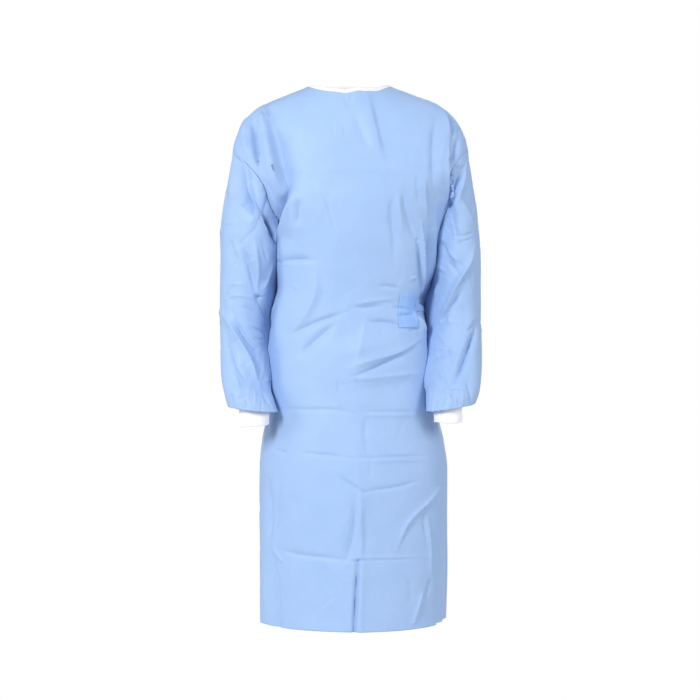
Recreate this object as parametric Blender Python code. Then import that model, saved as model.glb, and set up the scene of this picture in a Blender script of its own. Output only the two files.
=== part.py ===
"""Surgical gown in its worn shape, with no wearer inside it.

Metres, +Z up.  The origin is midway between the two high points of the neck,
the front of the gown faces -Y and the wearer's left is +X.  Every panel is a
thin wall of cloth cut from one draped surface, so that neighbours meet at
their seams with a small gap.
"""

import math
from collections import namedtuple

import bpy
import numpy as np

MM = 0.001

# ---------------------------------------------------------------- cloth walls
CLOTH = 1.2 * MM        # nonwoven panels
KNIT = 2.0 * MM         # rib-knit cuffs
TAPE = 2.0 * MM         # neck binding, folded over the panel's edge
STRAP = 1.0 * MM        # belt, its patch and the neck tab
SEAM_GAP = 0.3 * MM     # between neighbours at a seam
LIE_GAP = 0.3 * MM      # under a piece that lies on a panel

# ------------------------------------------------------------ levels and cuts
UNDERARM, SHOULDER_TIP = 0.720, 0.840    # levels between which the armholes are open
BINDING_START = 0.9895                   # level where the panels end and the binding begins
ARMHOLE_CUT = 32.0                       # degrees that the armhole reaches to the front and the back
FLAP_TOP, FLAP_WAIST = 158.0, 128.0      # free edge of the outer back panel, in degrees
INNER_EDGE = 205.0                       # free edge of the inner back panel
LAYER_DROP = 5.0 * MM                    # the inner back panel lies this far inside the outer one
RISE_POWER = 2.6                         # how late a ring climbs from the front to the shoulder

# One row for each level of the body: heights at the side, front and back, the reach to the
# wearer's right and left, the depth to the front and back, and how square the ring is.
BodyRing = namedtuple("BodyRing", "level side_z front_z back_z right left front back square")
BODY = (
    BodyRing(0.000, -1.118, -1.122, -1.118, 0.189, 0.197, 0.160, 0.160, 2.20),  # hem
    BodyRing(0.130, -0.974, -0.976, -0.974, 0.191, 0.204, 0.160, 0.162, 2.20),  # knee
    BodyRing(0.285, -0.806, -0.806, -0.806, 0.189, 0.206, 0.157, 0.166, 2.25),  # thigh
    BodyRing(0.345, -0.743, -0.743, -0.743, 0.185, 0.198, 0.153, 0.165, 2.25),  # seat
    BodyRing(0.400, -0.680, -0.680, -0.680, 0.175, 0.183, 0.147, 0.158, 2.25),  # hip
    BodyRing(0.515, -0.554, -0.554, -0.554, 0.172, 0.167, 0.136, 0.142, 2.25),  # belly
    BodyRing(0.570, -0.492, -0.492, -0.492, 0.168, 0.158, 0.130, 0.134, 2.20),
    BodyRing(0.605, -0.455, -0.455, -0.455, 0.160, 0.160, 0.128, 0.128, 2.20),  # waist
    BodyRing(0.635, -0.422, -0.422, -0.422, 0.152, 0.169, 0.129, 0.126, 2.20),
    BodyRing(0.680, -0.372, -0.372, -0.372, 0.155, 0.180, 0.132, 0.126, 2.20),  # ribs
    BodyRing(0.720, -0.328, -0.330, -0.328, 0.156, 0.186, 0.135, 0.128, 2.20),  # underarm
    BodyRing(0.780, -0.235, -0.262, -0.250, 0.198, 0.210, 0.136, 0.132, 2.20),  # chest
    BodyRing(0.840, -0.140, -0.200, -0.170, 0.246, 0.248, 0.128, 0.130, 2.15),  # shoulder tips
    BodyRing(0.880, -0.092, -0.150, -0.120, 0.232, 0.235, 0.118, 0.120, 2.10),
    BodyRing(0.915, -0.060, -0.110, -0.082, 0.210, 0.212, 0.109, 0.108, 2.10),
    BodyRing(0.945, -0.039, -0.078, -0.048, 0.181, 0.184, 0.100, 0.096, 2.05),
    BodyRing(0.975, -0.017, -0.041, -0.017, 0.127, 0.127, 0.089, 0.085, 2.00),
    BodyRing(0.9895, -0.003, -0.0235, 0.000, 0.0905, 0.0885, 0.0835, 0.0775, 2.00),  # under the binding
    BodyRing(1.000, 0.000, -0.016, 0.008, 0.083, 0.081, 0.081, 0.074, 2.00),    # neck
)
BODY_UNDERARM = BODY[10]

# One row for each ring of a sleeve, from the armhole down: the point furthest from the body,
# the point nearest to it, and the depth to the front and back.
SleeveRing = namedtuple("SleeveRing", "level out_x out_y out_z in_x in_y in_z depth")
SLEEVE_RIGHT = (
    SleeveRing(0.00, 0.246, 0.000, -0.140, 0.156, 0.000, -0.328, 0.070),  # armhole
    SleeveRing(0.12, 0.257, 0.000, -0.205, 0.161, 0.000, -0.352, 0.076),
    SleeveRing(0.25, 0.267, 0.002, -0.280, 0.160, 0.002, -0.388, 0.078),
    SleeveRing(0.40, 0.272, 0.006, -0.365, 0.160, 0.004, -0.432, 0.078),
    SleeveRing(0.55, 0.273, 0.006, -0.455, 0.171, 0.000, -0.488, 0.074),  # elbow
    SleeveRing(0.70, 0.267, -0.012, -0.545, 0.178, -0.034, -0.554, 0.066),
    SleeveRing(0.82, 0.259, -0.044, -0.605, 0.180, -0.080, -0.614, 0.057),
    SleeveRing(0.91, 0.252, -0.076, -0.646, 0.161, -0.116, -0.654, 0.052),
    SleeveRing(0.965, 0.246, -0.088, -0.670, 0.151, -0.126, -0.682, 0.047),  # lowest, over the cuff
)
SLEEVE_LEFT = (
    SleeveRing(0.00, 0.248, 0.000, -0.140, 0.186, 0.000, -0.328, 0.070),
    SleeveRing(0.12, 0.259, 0.000, -0.205, 0.190, 0.000, -0.352, 0.076),
    SleeveRing(0.25, 0.269, 0.002, -0.280, 0.184, 0.002, -0.388, 0.078),
    SleeveRing(0.40, 0.275, 0.006, -0.365, 0.173, 0.004, -0.432, 0.078),
    SleeveRing(0.55, 0.275, 0.006, -0.455, 0.165, 0.000, -0.482, 0.074),
    SleeveRing(0.70, 0.272, -0.012, -0.545, 0.166, -0.040, -0.552, 0.066),
    SleeveRing(0.82, 0.267, -0.044, -0.605, 0.162, -0.088, -0.612, 0.057),
    SleeveRing(0.91, 0.261, -0.076, -0.642, 0.160, -0.118, -0.652, 0.051),
    SleeveRing(0.965, 0.253, -0.088, -0.663, 0.158, -0.126, -0.680, 0.046),
)
CAP_END = 0.36          # level down the sleeve by which it has left the armhole's own shape
SLEEVE_CLEAR = 4.0 * MM # between a sleeve and the side that it hangs against
SLEEVE_WRAP = 36.0 * MM # how far a sleeve's back inner corner falls in behind that side
WRAP_TURN, WRAP_REACH = 226.0, 40.0
KNOT_ROOM = 13.0 * MM   # more room than that on the wearer's left, where the knot and its tails hang
KNOT_ROOM_Z, KNOT_ROOM_Y = -0.475, 0.040

# A cuff is an upright tube: its middle, its reach to the side and to the front, and its height.
Cuff = namedtuple("Cuff", "x y half_width half_depth top_z bottom_z tilt")
CUFF_RIGHT = Cuff(0.196, -0.110, 0.0315, 0.0315, -0.661, -0.709, 0.003)
CUFF_LEFT = Cuff(0.201, -0.110, 0.0290, 0.0320, -0.661, -0.702, 0.000)
SLEEVE_END_Z = -0.668   # height at which the sleeve's gathered end meets the cuff

# ---------------------------------------------------------------------- folds
# A fold is a curve through three points of the cloth as seen square on, with its reach on
# either side and its height (negative for a trough), all in millimetres.  Start and end say
# how much of its height it keeps there.
Fold = namedtuple("Fold", "x0 z0 x1 z1 x2 z2 reach_a reach_b height start end")
FRONT_FOLDS = (
    # from the wearer's right shoulder to the underarm
    Fold(-164, -77, -146, -165, -121, -262, 14, 20, -16, 0.3, 0.3),
    Fold(-184, -60, -169, -143, -157, -222, 13, 13, 9, 0.2, 0.2),
    Fold(-103, -191, -121, -262, -144, -332, 27, 13, 11, 0.1, 0.3),
    # beside the wearer's left armhole
    Fold(179, -69, 171, -143, 173, -226, 22, 13, 7, 0.2, 0.2),
    Fold(187, -82, 186, -164, 186, -235, 13, 13, -12, 0.2, 0.4),
    Fold(200, -72, 199, -163, 198, -225, 13, 13, 8, 0.2, 0.4),
    # chest, down to the belt
    Fold(42, -44, 56, -94, 72, -179, 16, 35, -7, 0.4, 0.1),
    Fold(91, -198, 97, -289, 105, -374, 14, 16, -8, 0.0, 0.0),
    Fold(109, -191, 119, -278, 133, -373, 13, 13, 9, 0.0, 0.3),
    Fold(120, -329, 128, -390, 139, -445, 13, 13, -9, 0.0, 0.5),
    Fold(132, -298, 143, -379, 156, -450, 13, 13, 9, 0.0, 0.8),
    # right of the waist
    Fold(-103, -374, -105, -452, -130, -529, 24, 27, -8, 0.0, 0.0),
    Fold(-124, -523, -66, -499, -1, -473, 13, 16, -8, 0.0, 0.0),
    # the long sweep from the belt over the lap
    Fold(145, -521, 84, -564, -11, -599, 16, 16, 14, 0.5, 0.0),
    Fold(152, -546, 91, -585, -11, -623, 16, 19, -11, 0.5, 0.0),
    # skirt
    Fold(23, -840, 25, -907, 33, -973, 14, 22, -8, 0.2, 0.3),
    Fold(11, -981, 7, -1048, 3, -1120, 16, 13, 11, 0.3, 1.0),
    Fold(31, -981, 29, -1048, 23, -1121, 19, 16, -8, 0.3, 1.0),
    Fold(180, -842, 127, -889, 86, -968, 16, 15, 9, 0.3, 0.1),
    Fold(150, -890, 160, -969, 152, -1044, 14, 14, 8, 0.0, 0.2),
    Fold(-174, -806, -176, -963, -172, -1112, 16, 14, -11, 0.1, 1.0),
    Fold(-155, -800, -157, -959, -142, -1113, 16, 19, 8, 0.1, 0.8),
)
BACK_FOLDS = (
    Fold(-150, -110, -140, -220, -118, -330, 22, 19, -12, 0.2, 0.1),
    Fold(150, -110, 142, -220, 122, -330, 19, 22, -12, 0.2, 0.1),
    Fold(-40, -150, -52, -290, -40, -430, 24, 24, -9, 0.0, 0.4),
    Fold(62, -210, 92, -330, 104, -450, 19, 19, -11, 0.0, 0.9),
    Fold(24, -260, 62, -360, 96, -448, 16, 16, 9, 0.0, 0.7),
    Fold(92, -480, 66, -640, 52, -860, 19, 24, -12, 0.9, 0.0),
    Fold(112, -480, 112, -640, 96, -900, 16, 22, 9, 0.6, 0.1),
    Fold(60, -475, 0, -560, -90, -610, 16, 19, -9, 0.6, 0.0),
    Fold(-60, -620, -70, -850, -84, -1118, 27, 32, -14, 0.0, 1.0),
    Fold(-118, -700, -122, -900, -130, -1118, 24, 24, 11, 0.0, 1.0),
    Fold(30, -760, 26, -940, 20, -1118, 24, 27, -12, 0.0, 1.0),
    Fold(112, -860, 126, -990, 132, -1118, 22, 22, -11, 0.0, 1.0),
)
# On a sleeve the first figure of each pair is degrees round it: 0 is furthest from the body,
# 90 the front, 180 nearest to the body and 270 the back.
SLEEVE_RADIUS = 70.0    # millimetres, turns those degrees into a length
RIGHT_SLEEVE_FOLDS = (
    Fold(30, -146, 54, -213, 104, -323, 15, 18, -14, 0.5, 0.1),
    Fold(52, -150, 84, -235, 126, -323, 15, 15, 9, 0.3, 0.1),
    Fold(40, -274, 70, -358, 104, -430, 19, 19, -11, 0.0, 0.1),
    Fold(42, -471, 110, -544, 160, -618, 20, 18, 11, 0.1, 0.1),
    Fold(66, -451, 114, -496, 162, -546, 16, 16, -11, 0.0, 0.3),
    Fold(178, -462, 140, -477, 112, -484, 13, 14, -9, 0.6, 0.0),
    Fold(64, -544, 92, -605, 100, -655, 16, 19, -11, 0.1, 0.6),
    Fold(250, -210, 262, -330, 240, -450, 22, 22, -12, 0.1, 0.0),
    Fold(215, -430, 262, -470, 315, -480, 16, 19, -12, 0.3, 0.1),
    Fold(210, -490, 262, -522, 310, -520, 16, 18, -11, 0.3, 0.1),
    Fold(300, -540, 282, -600, 262, -655, 16, 16, 11, 0.0, 0.4),
)
LEFT_SLEEVE_FOLDS = (
    Fold(44, -150, 62, -224, 90, -295, 14, 14, -11, 0.5, 0.1),
    Fold(34, -160, 56, -244, 86, -324, 16, 16, 9, 0.2, 0.1),
    Fold(50, -359, 90, -426, 132, -488, 18, 19, 15, 0.1, 0.3),
    Fold(70, -434, 100, -482, 142, -521, 16, 16, -12, 0.0, 0.3),
    Fold(50, -500, 86, -560, 120, -623, 18, 19, -15, 0.4, 0.2),
    Fold(168, -591, 136, -615, 102, -649, 13, 14, 8, 0.2, 0.4),
    Fold(154, -389, 130, -397, 104, -412, 13, 14, -9, 0.5, 0.0),
    Fold(250, -210, 262, -330, 240, -450, 22, 22, -12, 0.1, 0.0),
    Fold(215, -440, 262, -478, 315, -486, 16, 19, -12, 0.3, 0.1),
    Fold(205, -500, 256, -534, 306, -528, 16, 18, -11, 0.3, 0.1),
    Fold(300, -550, 282, -605, 262, -655, 16, 16, 11, 0.0, 0.4),
)
FOLD_STEPS = 16         # points on a fold's line from which distances are read

# A flute opens towards the hem: degrees round the body, the height where it starts, its reach
# in degrees and how far it stands out at the hem, in millimetres.
Flute = namedtuple("Flute", "angle top_z reach height")
FLUTES = (
    Flute(-78, -0.900, 9, 6),
    Flute(96, -0.860, 10, 6),
    Flute(-112, -0.840, 13, -8),
    Flute(128, -0.800, 12, 8),
    Flute(158, -0.820, 14, -8),
    Flute(-150, -0.780, 14, 9),
)

# ----------------------------------------------------------------------- belt
BELT_Z = -0.462
BELT_WIDTH = 24 * MM
BELT_PULL = 6.0 * MM                        # how far the belt pulls the cloth in
BELT_FROM, BELT_TO = 58.0, 152.0            # degrees between which it pulls
PATCH_Z = (-0.509, -0.440)
PATCH_SHARES = (0.405, 0.651)               # the patch's edges, as shares of the front's half width
KNOT_SIZE = (14.6 * MM, 13 * MM, 26 * MM)   # round the body, out of it, and high
KNOT_COLUMN = 2                             # column of the inner back panel that the knot covers
TAIL_LENGTHS = (0.150, 0.185)
TAIL_WIDTH = 20 * MM
TAIL_LIFT = 3.0 * MM

# ------------------------------------------------------------------- neck tab
TAB_ROWS = slice(-3, -1)        # of the panels' rows
TAB_COLUMNS = slice(5, 9)       # of the inner back panel's columns

# --------------------------------------------------------------- mesh fineness
HIP_ROWS, PATCH_ROWS, BELT_ROWS, WAIST_ROWS, RIB_ROWS = 16, 1, 2, 1, 5
ARMHOLE_ROWS, YOKE_ROWS = 10, 6
FRONT_COLUMNS = (20, 3, 6)      # up to the patch, across it, and on to the side seam
OUTER_BACK_COLUMNS, LAPPED_COLUMNS, INNER_BACK_COLUMNS = 10, 7, 6
SLEEVE_ROWS, SLEEVE_COLUMNS = 20, 2 * ARMHOLE_ROWS
CUFF_ROWS = 2

COLOURS = {
    "nonwoven": ((0.42, 0.62, 0.93, 1.0), 0.62),
    "patch_blue": ((0.30, 0.52, 0.90, 1.0), 0.60),
    "white_knit": ((0.90, 0.90, 0.93, 1.0), 0.85),
    "white_tape": ((0.90, 0.91, 0.95, 1.0), 0.75),
}


def smooth(share):
    """0 below 0, 1 above 1, and an even curve between."""
    share = np.clip(share, 0.0, 1.0)
    return share * share * (3 - 2 * share)


def through(rows, column, level):
    """A smooth curve through one column of a table of levels, with no overshoot."""
    levels = np.array([row.level for row in rows])
    values = np.array([getattr(row, column) for row in rows])
    steps = np.diff(levels)
    slopes = np.diff(values) / steps
    product = slopes[:-1] * slopes[1:]
    mean = np.where(product > 0, 2 * product / np.where(product > 0, slopes[:-1] + slopes[1:], 1), 0)
    tangents = np.concatenate([[slopes[0]], mean, [slopes[-1]]])
    i = np.clip(np.searchsorted(levels, level, side="right") - 1, 0, len(steps) - 1)
    t = (level - levels[i]) / steps[i]
    return (
        (2 * t**3 - 3 * t**2 + 1) * values[i]
        + (t**3 - 2 * t**2 + t) * steps[i] * tangents[i]
        + (3 * t**2 - 2 * t**3) * values[i + 1]
        + (t**3 - t**2) * steps[i] * tangents[i + 1]
    )


def curve(shares, first, middle, last):
    """A parabola that passes through three values."""
    return first * (1 - shares) * (1 - 2 * shares) + middle * 4 * shares * (1 - shares) + last * shares * (
        2 * shares - 1
    )


def fold_height(folds, across, up):
    """Sum of the folds, in millimetres, at points given by their place across and up the cloth."""
    total = np.zeros_like(across)
    shares = np.linspace(0, 1, FOLD_STEPS)
    for fold in folds:
        line_x = curve(shares, fold.x0, fold.x1, fold.x2)
        line_z = curve(shares, fold.z0, fold.z1, fold.z2)
        nearest = np.full(across.shape, 1e9)
        side = np.zeros_like(across)
        place = np.zeros_like(across)
        for k in range(FOLD_STEPS - 1):
            run_x, run_z = line_x[k + 1] - line_x[k], line_z[k + 1] - line_z[k]
            length_2 = run_x**2 + run_z**2
            t = np.clip(((across - line_x[k]) * run_x + (up - line_z[k]) * run_z) / length_2, 0, 1)
            off_x, off_z = across - line_x[k] - t * run_x, up - line_z[k] - t * run_z
            distance = np.hypot(off_x, off_z)
            closer = distance < nearest
            nearest = np.where(closer, distance, nearest)
            side = np.where(closer, run_x * off_z - run_z * off_x, side)
            place = np.where(closer, (k + t) / (FOLD_STEPS - 1), place)
        reach = np.where(side > 0, fold.reach_a, fold.reach_b)
        swell = (fold.start + (1 - fold.start) * smooth(place / 0.35)) * (
            fold.end + (1 - fold.end) * smooth((1 - place) / 0.35)
        )
        total += fold.height * swell * np.exp(-((nearest / reach) ** 2))
    return total


# ------------------------------------------------------------ the body's cloth


def bare_body(level, angle):
    """The body without its folds.  Angle in degrees: 0 centre front, 90 the wearer's left side."""
    radians = np.radians(angle)
    across, along = np.sin(radians), np.cos(radians)
    power = 2 / through(BODY, "square", level)
    reach = np.where(across > 0, through(BODY, "left", level), through(BODY, "right", level))
    depth = np.where(along > 0, through(BODY, "front", level), through(BODY, "back", level))
    middle_z = np.where(along > 0, through(BODY, "front_z", level), through(BODY, "back_z", level))
    side_z = through(BODY, "side_z", level)
    x = reach * np.sign(across) * np.abs(across) ** power
    y = -depth * np.sign(along) * np.abs(along) ** power
    z = middle_z + (side_z - middle_z) * np.abs(across) ** RISE_POWER
    return np.stack([x, y, z], axis=-1)


def outward(surface, level, angle, level_step=0.002, angle_step=0.4):
    """Unit normal of a surface function, out of the cloth."""
    up = surface(level + level_step, angle) - surface(level - level_step, angle)
    around = surface(level, angle + angle_step) - surface(level, angle - angle_step)
    normal = np.cross(around, up)
    return normal / np.linalg.norm(normal, axis=-1, keepdims=True)


def body_cloth(level, angle):
    """The body's outer surface with its folds, flutes and the pull of the belt."""
    level, angle = np.broadcast_arrays(np.asarray(level, float), np.asarray(angle, float))
    base = bare_body(level, angle)
    x_mm, z_mm = base[..., 0] / MM, base[..., 2] / MM
    turned = (angle + 180.0) % 360.0 - 180.0
    front_share = smooth((90.0 - np.abs(turned)) / 14.0)
    back_share = smooth((np.abs(turned) - 90.0) / 14.0)
    height = front_share * fold_height(FRONT_FOLDS, x_mm, z_mm)
    height += back_share * fold_height(BACK_FOLDS, x_mm, z_mm)
    hem_z = BODY[0].side_z
    for flute in FLUTES:
        off = (turned - flute.angle + 180.0) % 360.0 - 180.0
        open_share = smooth((flute.top_z - base[..., 2]) / (flute.top_z - hem_z))
        height += flute.height * open_share * np.exp(-((off / flute.reach) ** 2))
    underarm = np.exp(-(((np.abs(turned) - 90.0) / 20.0) ** 2) - ((level - UNDERARM) / 0.03) ** 2)
    height *= 1 - underarm
    belt_share = smooth((turned - BELT_FROM + 14) / 14.0) * smooth((BELT_TO + 14 - turned) / 14.0)
    height -= BELT_PULL / MM * belt_share * np.exp(-(((base[..., 2] - BELT_Z) / (BELT_WIDTH * 0.9)) ** 2))
    return base + outward(bare_body, level, angle) * (height * MM)[..., None]


def body_level(z):
    """The level whose side is at that height, for heights below the underarm."""
    levels = np.linspace(0, UNDERARM, 400)
    return float(np.interp(z, through(BODY, "side_z", levels), levels))


def armhole_cut(level):
    """Degrees by which the armhole cuts into the front and the back at a level."""
    height = 2 * (level - UNDERARM) / (SHOULDER_TIP - UNDERARM) - 1
    return ARMHOLE_CUT * np.sqrt(np.clip(1 - height**2, 0, 1))


def body_rows():
    """Levels of the body's rows, from the hem to the binding, closer together round the armholes."""
    marks = (0, body_level(PATCH_Z[0]), *belt_edges(), body_level(PATCH_Z[1]), UNDERARM)
    counts = (HIP_ROWS, PATCH_ROWS, BELT_ROWS, WAIST_ROWS, RIB_ROWS)
    below = [np.linspace(*marks[i : i + 2], counts[i], endpoint=False) for i in range(len(counts))]
    turn = np.linspace(0, math.pi, ARMHOLE_ROWS + 1)
    armhole = UNDERARM + (SHOULDER_TIP - UNDERARM) * (1 - np.cos(turn)) / 2
    yoke = np.linspace(SHOULDER_TIP, BINDING_START, YOKE_ROWS + 1)[1:]
    return np.concatenate([*below, armhole, yoke])


def belt_edges():
    """Levels of the belt's lower and upper edge."""
    return body_level(BELT_Z - BELT_WIDTH / 2), body_level(BELT_Z + BELT_WIDTH / 2)


def gap_degrees(level):
    """Half a seam's gap, in degrees of the ring at a level."""
    return np.degrees(SEAM_GAP / 2 / through(BODY, "back", level))


# -------------------------------------------------------------------- sleeves


def armhole_edge(turn, side):
    """The armhole's curve: turn 0 at the shoulder tip, 90 the front, 180 the underarm."""
    radians = np.radians(turn)
    level = UNDERARM + (SHOULDER_TIP - UNDERARM) * (1 + np.cos(radians)) / 2
    angle = 90.0 - ARMHOLE_CUT * np.sin(radians)
    return body_cloth(level, side * angle)


def sleeve_ring(rows, level, turn, side):
    """An oval ring of the sleeve, before its top is drawn to the armhole."""
    outer = np.stack([side * through(rows, "out_x", level), through(rows, "out_y", level), through(rows, "out_z", level)], -1)
    inner = np.stack([side * through(rows, "in_x", level), through(rows, "in_y", level), through(rows, "in_z", level)], -1)
    centre, half = (outer + inner) / 2, (outer - inner) / 2
    flat = half[..., :2] / np.linalg.norm(half[..., :2], axis=-1, keepdims=True)
    forward = np.stack([side * flat[..., 1], -side * flat[..., 0], np.zeros_like(flat[..., 0])], -1)
    radians = np.radians(turn)[..., None]
    depth = through(rows, "depth", level)[..., None]
    return centre + half * np.cos(radians) + forward * depth * np.sin(radians)


def cuff_ring(cuff, z, turn, side, grow=0.0):
    """A ring of the cuff, grown outwards by a distance."""
    radians = np.radians(turn)
    return np.stack(
        [
            side * (cuff.x + (cuff.half_width + grow) * np.cos(radians)),
            cuff.y - (cuff.half_depth + grow) * np.sin(radians),
            z - cuff.tilt * np.cos(radians),
        ],
        -1,
    )


def sleeve_cloth(rows, folds, cuff, side):
    """The outer surface of a sleeve as a function of its level and the turn round it."""
    last = rows[-1].level

    def bare(level, turn):
        level, turn = np.broadcast_arrays(np.asarray(level, float), np.asarray(turn, float))
        ring = sleeve_ring(rows, np.minimum(level, last), turn, side)
        top = sleeve_ring(rows, np.zeros_like(level), turn, side)
        left_cap = smooth(level / CAP_END)[..., None]
        ring = ring + (1 - left_cap) * (armhole_edge(turn, side) - top)
        wrap = np.exp(-(((turn % 360.0 - WRAP_TURN) / WRAP_REACH) ** 2)) * smooth((level - 0.15) / 0.16) * smooth((0.90 - level) / 0.16)
        ring = ring - wrap[..., None] * np.array((side * SLEEVE_WRAP, 0, 0))
        tuck = np.clip((level - last) / (1 - last), 0, 1)[..., None]
        end = cuff_ring(cuff, SLEEVE_END_Z, turn, side, SEAM_GAP)
        return ring + (end - ring) * np.sin(tuck * math.pi / 2)

    def cloth(level, turn):
        level, turn = np.broadcast_arrays(np.asarray(level, float), np.asarray(turn, float))
        base = bare(level, turn)
        share = smooth(level / 0.05) * smooth((0.96 - level) / 0.06)
        height = np.zeros_like(level)
        for fold in folds:
            middle = fold.x1
            off = (turn - middle + 180.0) % 360.0 - 180.0 + middle
            height += fold_height((scaled(fold),), off * math.radians(SLEEVE_RADIUS), base[..., 2] / MM)
        normal = side * outward(bare, level, turn, 0.004, 1.0)
        return clear_of_body(base + normal * (height * share * MM)[..., None], level, side)

    return cloth


def clear_of_body(points, level, side):
    """Sleeve points moved sideways until they are just clear of the body that they rest against."""
    below = np.minimum(points[..., 2], BODY_UNDERARM.side_z)
    levels = np.linspace(0, UNDERARM, 200)
    body = np.interp(below, through(BODY, "side_z", levels), levels)
    depth = np.where(points[..., 1] < 0, through(BODY, "front", body), through(BODY, "back", body))
    share = np.clip(np.abs(points[..., 1]) / depth, 0, 1)
    from_middle = np.degrees(np.arccos(share ** (through(BODY, "square", body) / 2)))
    angle = np.where(points[..., 1] < 0, from_middle, 180.0 - from_middle)
    limit = np.abs(body_cloth(body, side * angle)[..., 0]) + SLEEVE_CLEAR * smooth(level / 0.08)
    if side > 0:
        limit += KNOT_ROOM * np.exp(-(((points[..., 2] - KNOT_ROOM_Z) / 0.043) ** 4) - (((points[..., 1] - KNOT_ROOM_Y) / 0.026) ** 4))
    free_end = smooth((0.985 - level) / 0.02)
    short = np.maximum(limit - side * points[..., 0], 0) * free_end * (share < 1)
    return points + np.stack([side * short, 0 * short, 0 * short], -1)


def scaled(fold):
    """A sleeve's fold with its degrees turned into millimetres round the sleeve."""
    factor = math.radians(SLEEVE_RADIUS)
    return fold._replace(x0=fold.x0 * factor, x1=fold.x1 * factor, x2=fold.x2 * factor)


# ------------------------------------------------------------- making solids


def material(name):
    found = bpy.data.materials.get(name)
    if found:
        return found
    made = bpy.data.materials.new(name)
    made.use_nodes = True
    colour, roughness = COLOURS[name]
    shader = made.node_tree.nodes["Principled BSDF"]
    shader.inputs["Base Color"].default_value = colour
    shader.inputs["Roughness"].default_value = roughness
    shader.inputs["Metallic"].default_value = 0.0
    made.diffuse_color = colour
    return made


def wall(name, outer, inner, closed, finish):
    """A closed solid between two grids of points; closed joins the last column to the first."""
    rows, columns = outer.shape[:2]
    count = rows * columns
    faces = []
    across = columns if closed else columns - 1
    for i in range(rows - 1):
        for j in range(across):
            a, b = i * columns + j, i * columns + (j + 1) % columns
            c, d = b + columns, a + columns
            faces.append((a, b, c, d))
            faces.append((count + a, count + d, count + c, count + b))
    for i in (0, rows - 1):
        for j in range(across):
            a, b = i * columns + j, i * columns + (j + 1) % columns
            faces.append((b, a, count + a, count + b) if i == 0 else (a, b, count + b, count + a))
    if not closed:
        for j in (0, columns - 1):
            for i in range(rows - 1):
                a, d = i * columns + j, (i + 1) * columns + j
                faces.append((a, d, count + d, count + a) if j == 0 else (d, a, count + a, count + d))
    mesh = bpy.data.meshes.new(name)
    points = np.concatenate([outer.reshape(-1, 3), inner.reshape(-1, 3)])
    mesh.from_pydata([tuple(p) for p in points], [], faces)
    mesh.update()
    if signed_volume(points, faces) < 0:
        mesh.flip_normals()
    mesh.materials.append(material(finish))
    mesh.shade_smooth()
    mesh.set_sharp_from_angle(angle=math.radians(50))
    made = bpy.data.objects.new(name, mesh)
    bpy.context.scene.collection.objects.link(made)
    return made


def signed_volume(points, faces):
    """Six times the volume inside quads, positive where they face out."""
    quads = points[np.array(faces)]
    first = np.einsum("ij,ij->i", quads[:, 0], np.cross(quads[:, 1], quads[:, 2]))
    second = np.einsum("ij,ij->i", quads[:, 0], np.cross(quads[:, 2], quads[:, 3]))
    return float((first + second).sum())


def body_panel(name, levels, angles, finish="nonwoven", drop=None, lift=0.0, thickness=CLOTH):
    """A wall cut from the body's surface: drop moves it in and lift moves it out."""
    levels, angles = np.broadcast_arrays(levels, angles)
    normal = outward(body_cloth, levels, angles)
    sunk = np.zeros(levels.shape) if drop is None else drop(levels, angles)
    outer = body_cloth(levels, angles) + normal * (lift - sunk)[..., None]
    return wall(name, outer, outer - normal * thickness, False, finish)


def flap_edge(level):
    """The outer back panel's free edge: near the middle at the neck, round at the side below."""
    return FLAP_WAIST + (FLAP_TOP - FLAP_WAIST) * smooth((level - body_level(BELT_Z)) / 0.25)


def inner_drop(levels, angles):
    """How far the inner back panel lies inside the outer one."""
    start = 90.0 + armhole_cut(levels)
    return LAYER_DROP * smooth((angles - start) / (flap_edge(levels) - 4.0 - start))


def between(first, last, columns):
    """Rows of evenly spaced angles from one edge to another."""
    return first + (last - first) * np.linspace(0, 1, columns + 1)[None, :]


def panel_edge(levels):
    """Degrees from the middle of the front or back to a panel's side seam or armhole."""
    return 90.0 - armhole_cut(levels) - gap_degrees(levels)


def front_columns(levels):
    marks = (-1.0, *PATCH_SHARES, 1.0)
    shares = [np.linspace(*marks[i : i + 2], FRONT_COLUMNS[i], endpoint=False) for i in range(3)]
    return panel_edge(levels) * np.concatenate([*shares, [1.0]])[None, :]


def lapped_columns(levels):
    return between(flap_edge(levels), INNER_EDGE, LAPPED_COLUMNS)


def inner_columns(levels):
    before = between(180.0 - panel_edge(levels), flap_edge(levels), INNER_BACK_COLUMNS)
    return np.hstack([before, lapped_columns(levels)[:, 1:]])


def outer_columns(levels):
    beyond = between(INNER_EDGE, 180.0 + panel_edge(levels), OUTER_BACK_COLUMNS)
    return np.hstack([lapped_columns(levels), beyond[:, 1:]])


def make_body():
    levels = body_rows()[:, None]
    body_panel("front_panel", levels, front_columns(levels))
    body_panel("back_panel_outer", levels, outer_columns(levels))
    body_panel("back_panel_inner", levels, inner_columns(levels), drop=inner_drop)


def make_sleeve(name, rows, folds, cuff, side):
    cloth = sleeve_cloth(rows, folds, cuff, side)
    turns = np.linspace(0, 360, SLEEVE_COLUMNS, endpoint=False)[None, :]
    start = 0.003
    levels = np.concatenate([np.linspace(start, rows[-1].level, SLEEVE_ROWS - 2), [0.985, 1.0]])[:, None]
    outer = cloth(levels, turns)
    normal = side * outward(cloth, np.clip(levels, 0.006, 0.9995) + 0 * turns, turns + 0 * levels, 0.0005, 1.0)
    wall(name, outer, outer - normal * CLOTH, True, "nonwoven")


def make_cuff(name, cuff, side):
    turns = np.linspace(0, 360, SLEEVE_COLUMNS, endpoint=False)[None, :]
    heights = np.linspace(cuff.top_z, cuff.bottom_z, CUFF_ROWS + 1)[:, None]
    turns, heights = np.broadcast_arrays(turns, heights)
    outer = cuff_ring(cuff, heights, turns, side)
    inner = cuff_ring(cuff, heights, turns, side, -KNIT)
    wall(name, outer, inner, True, "white_knit")


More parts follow.
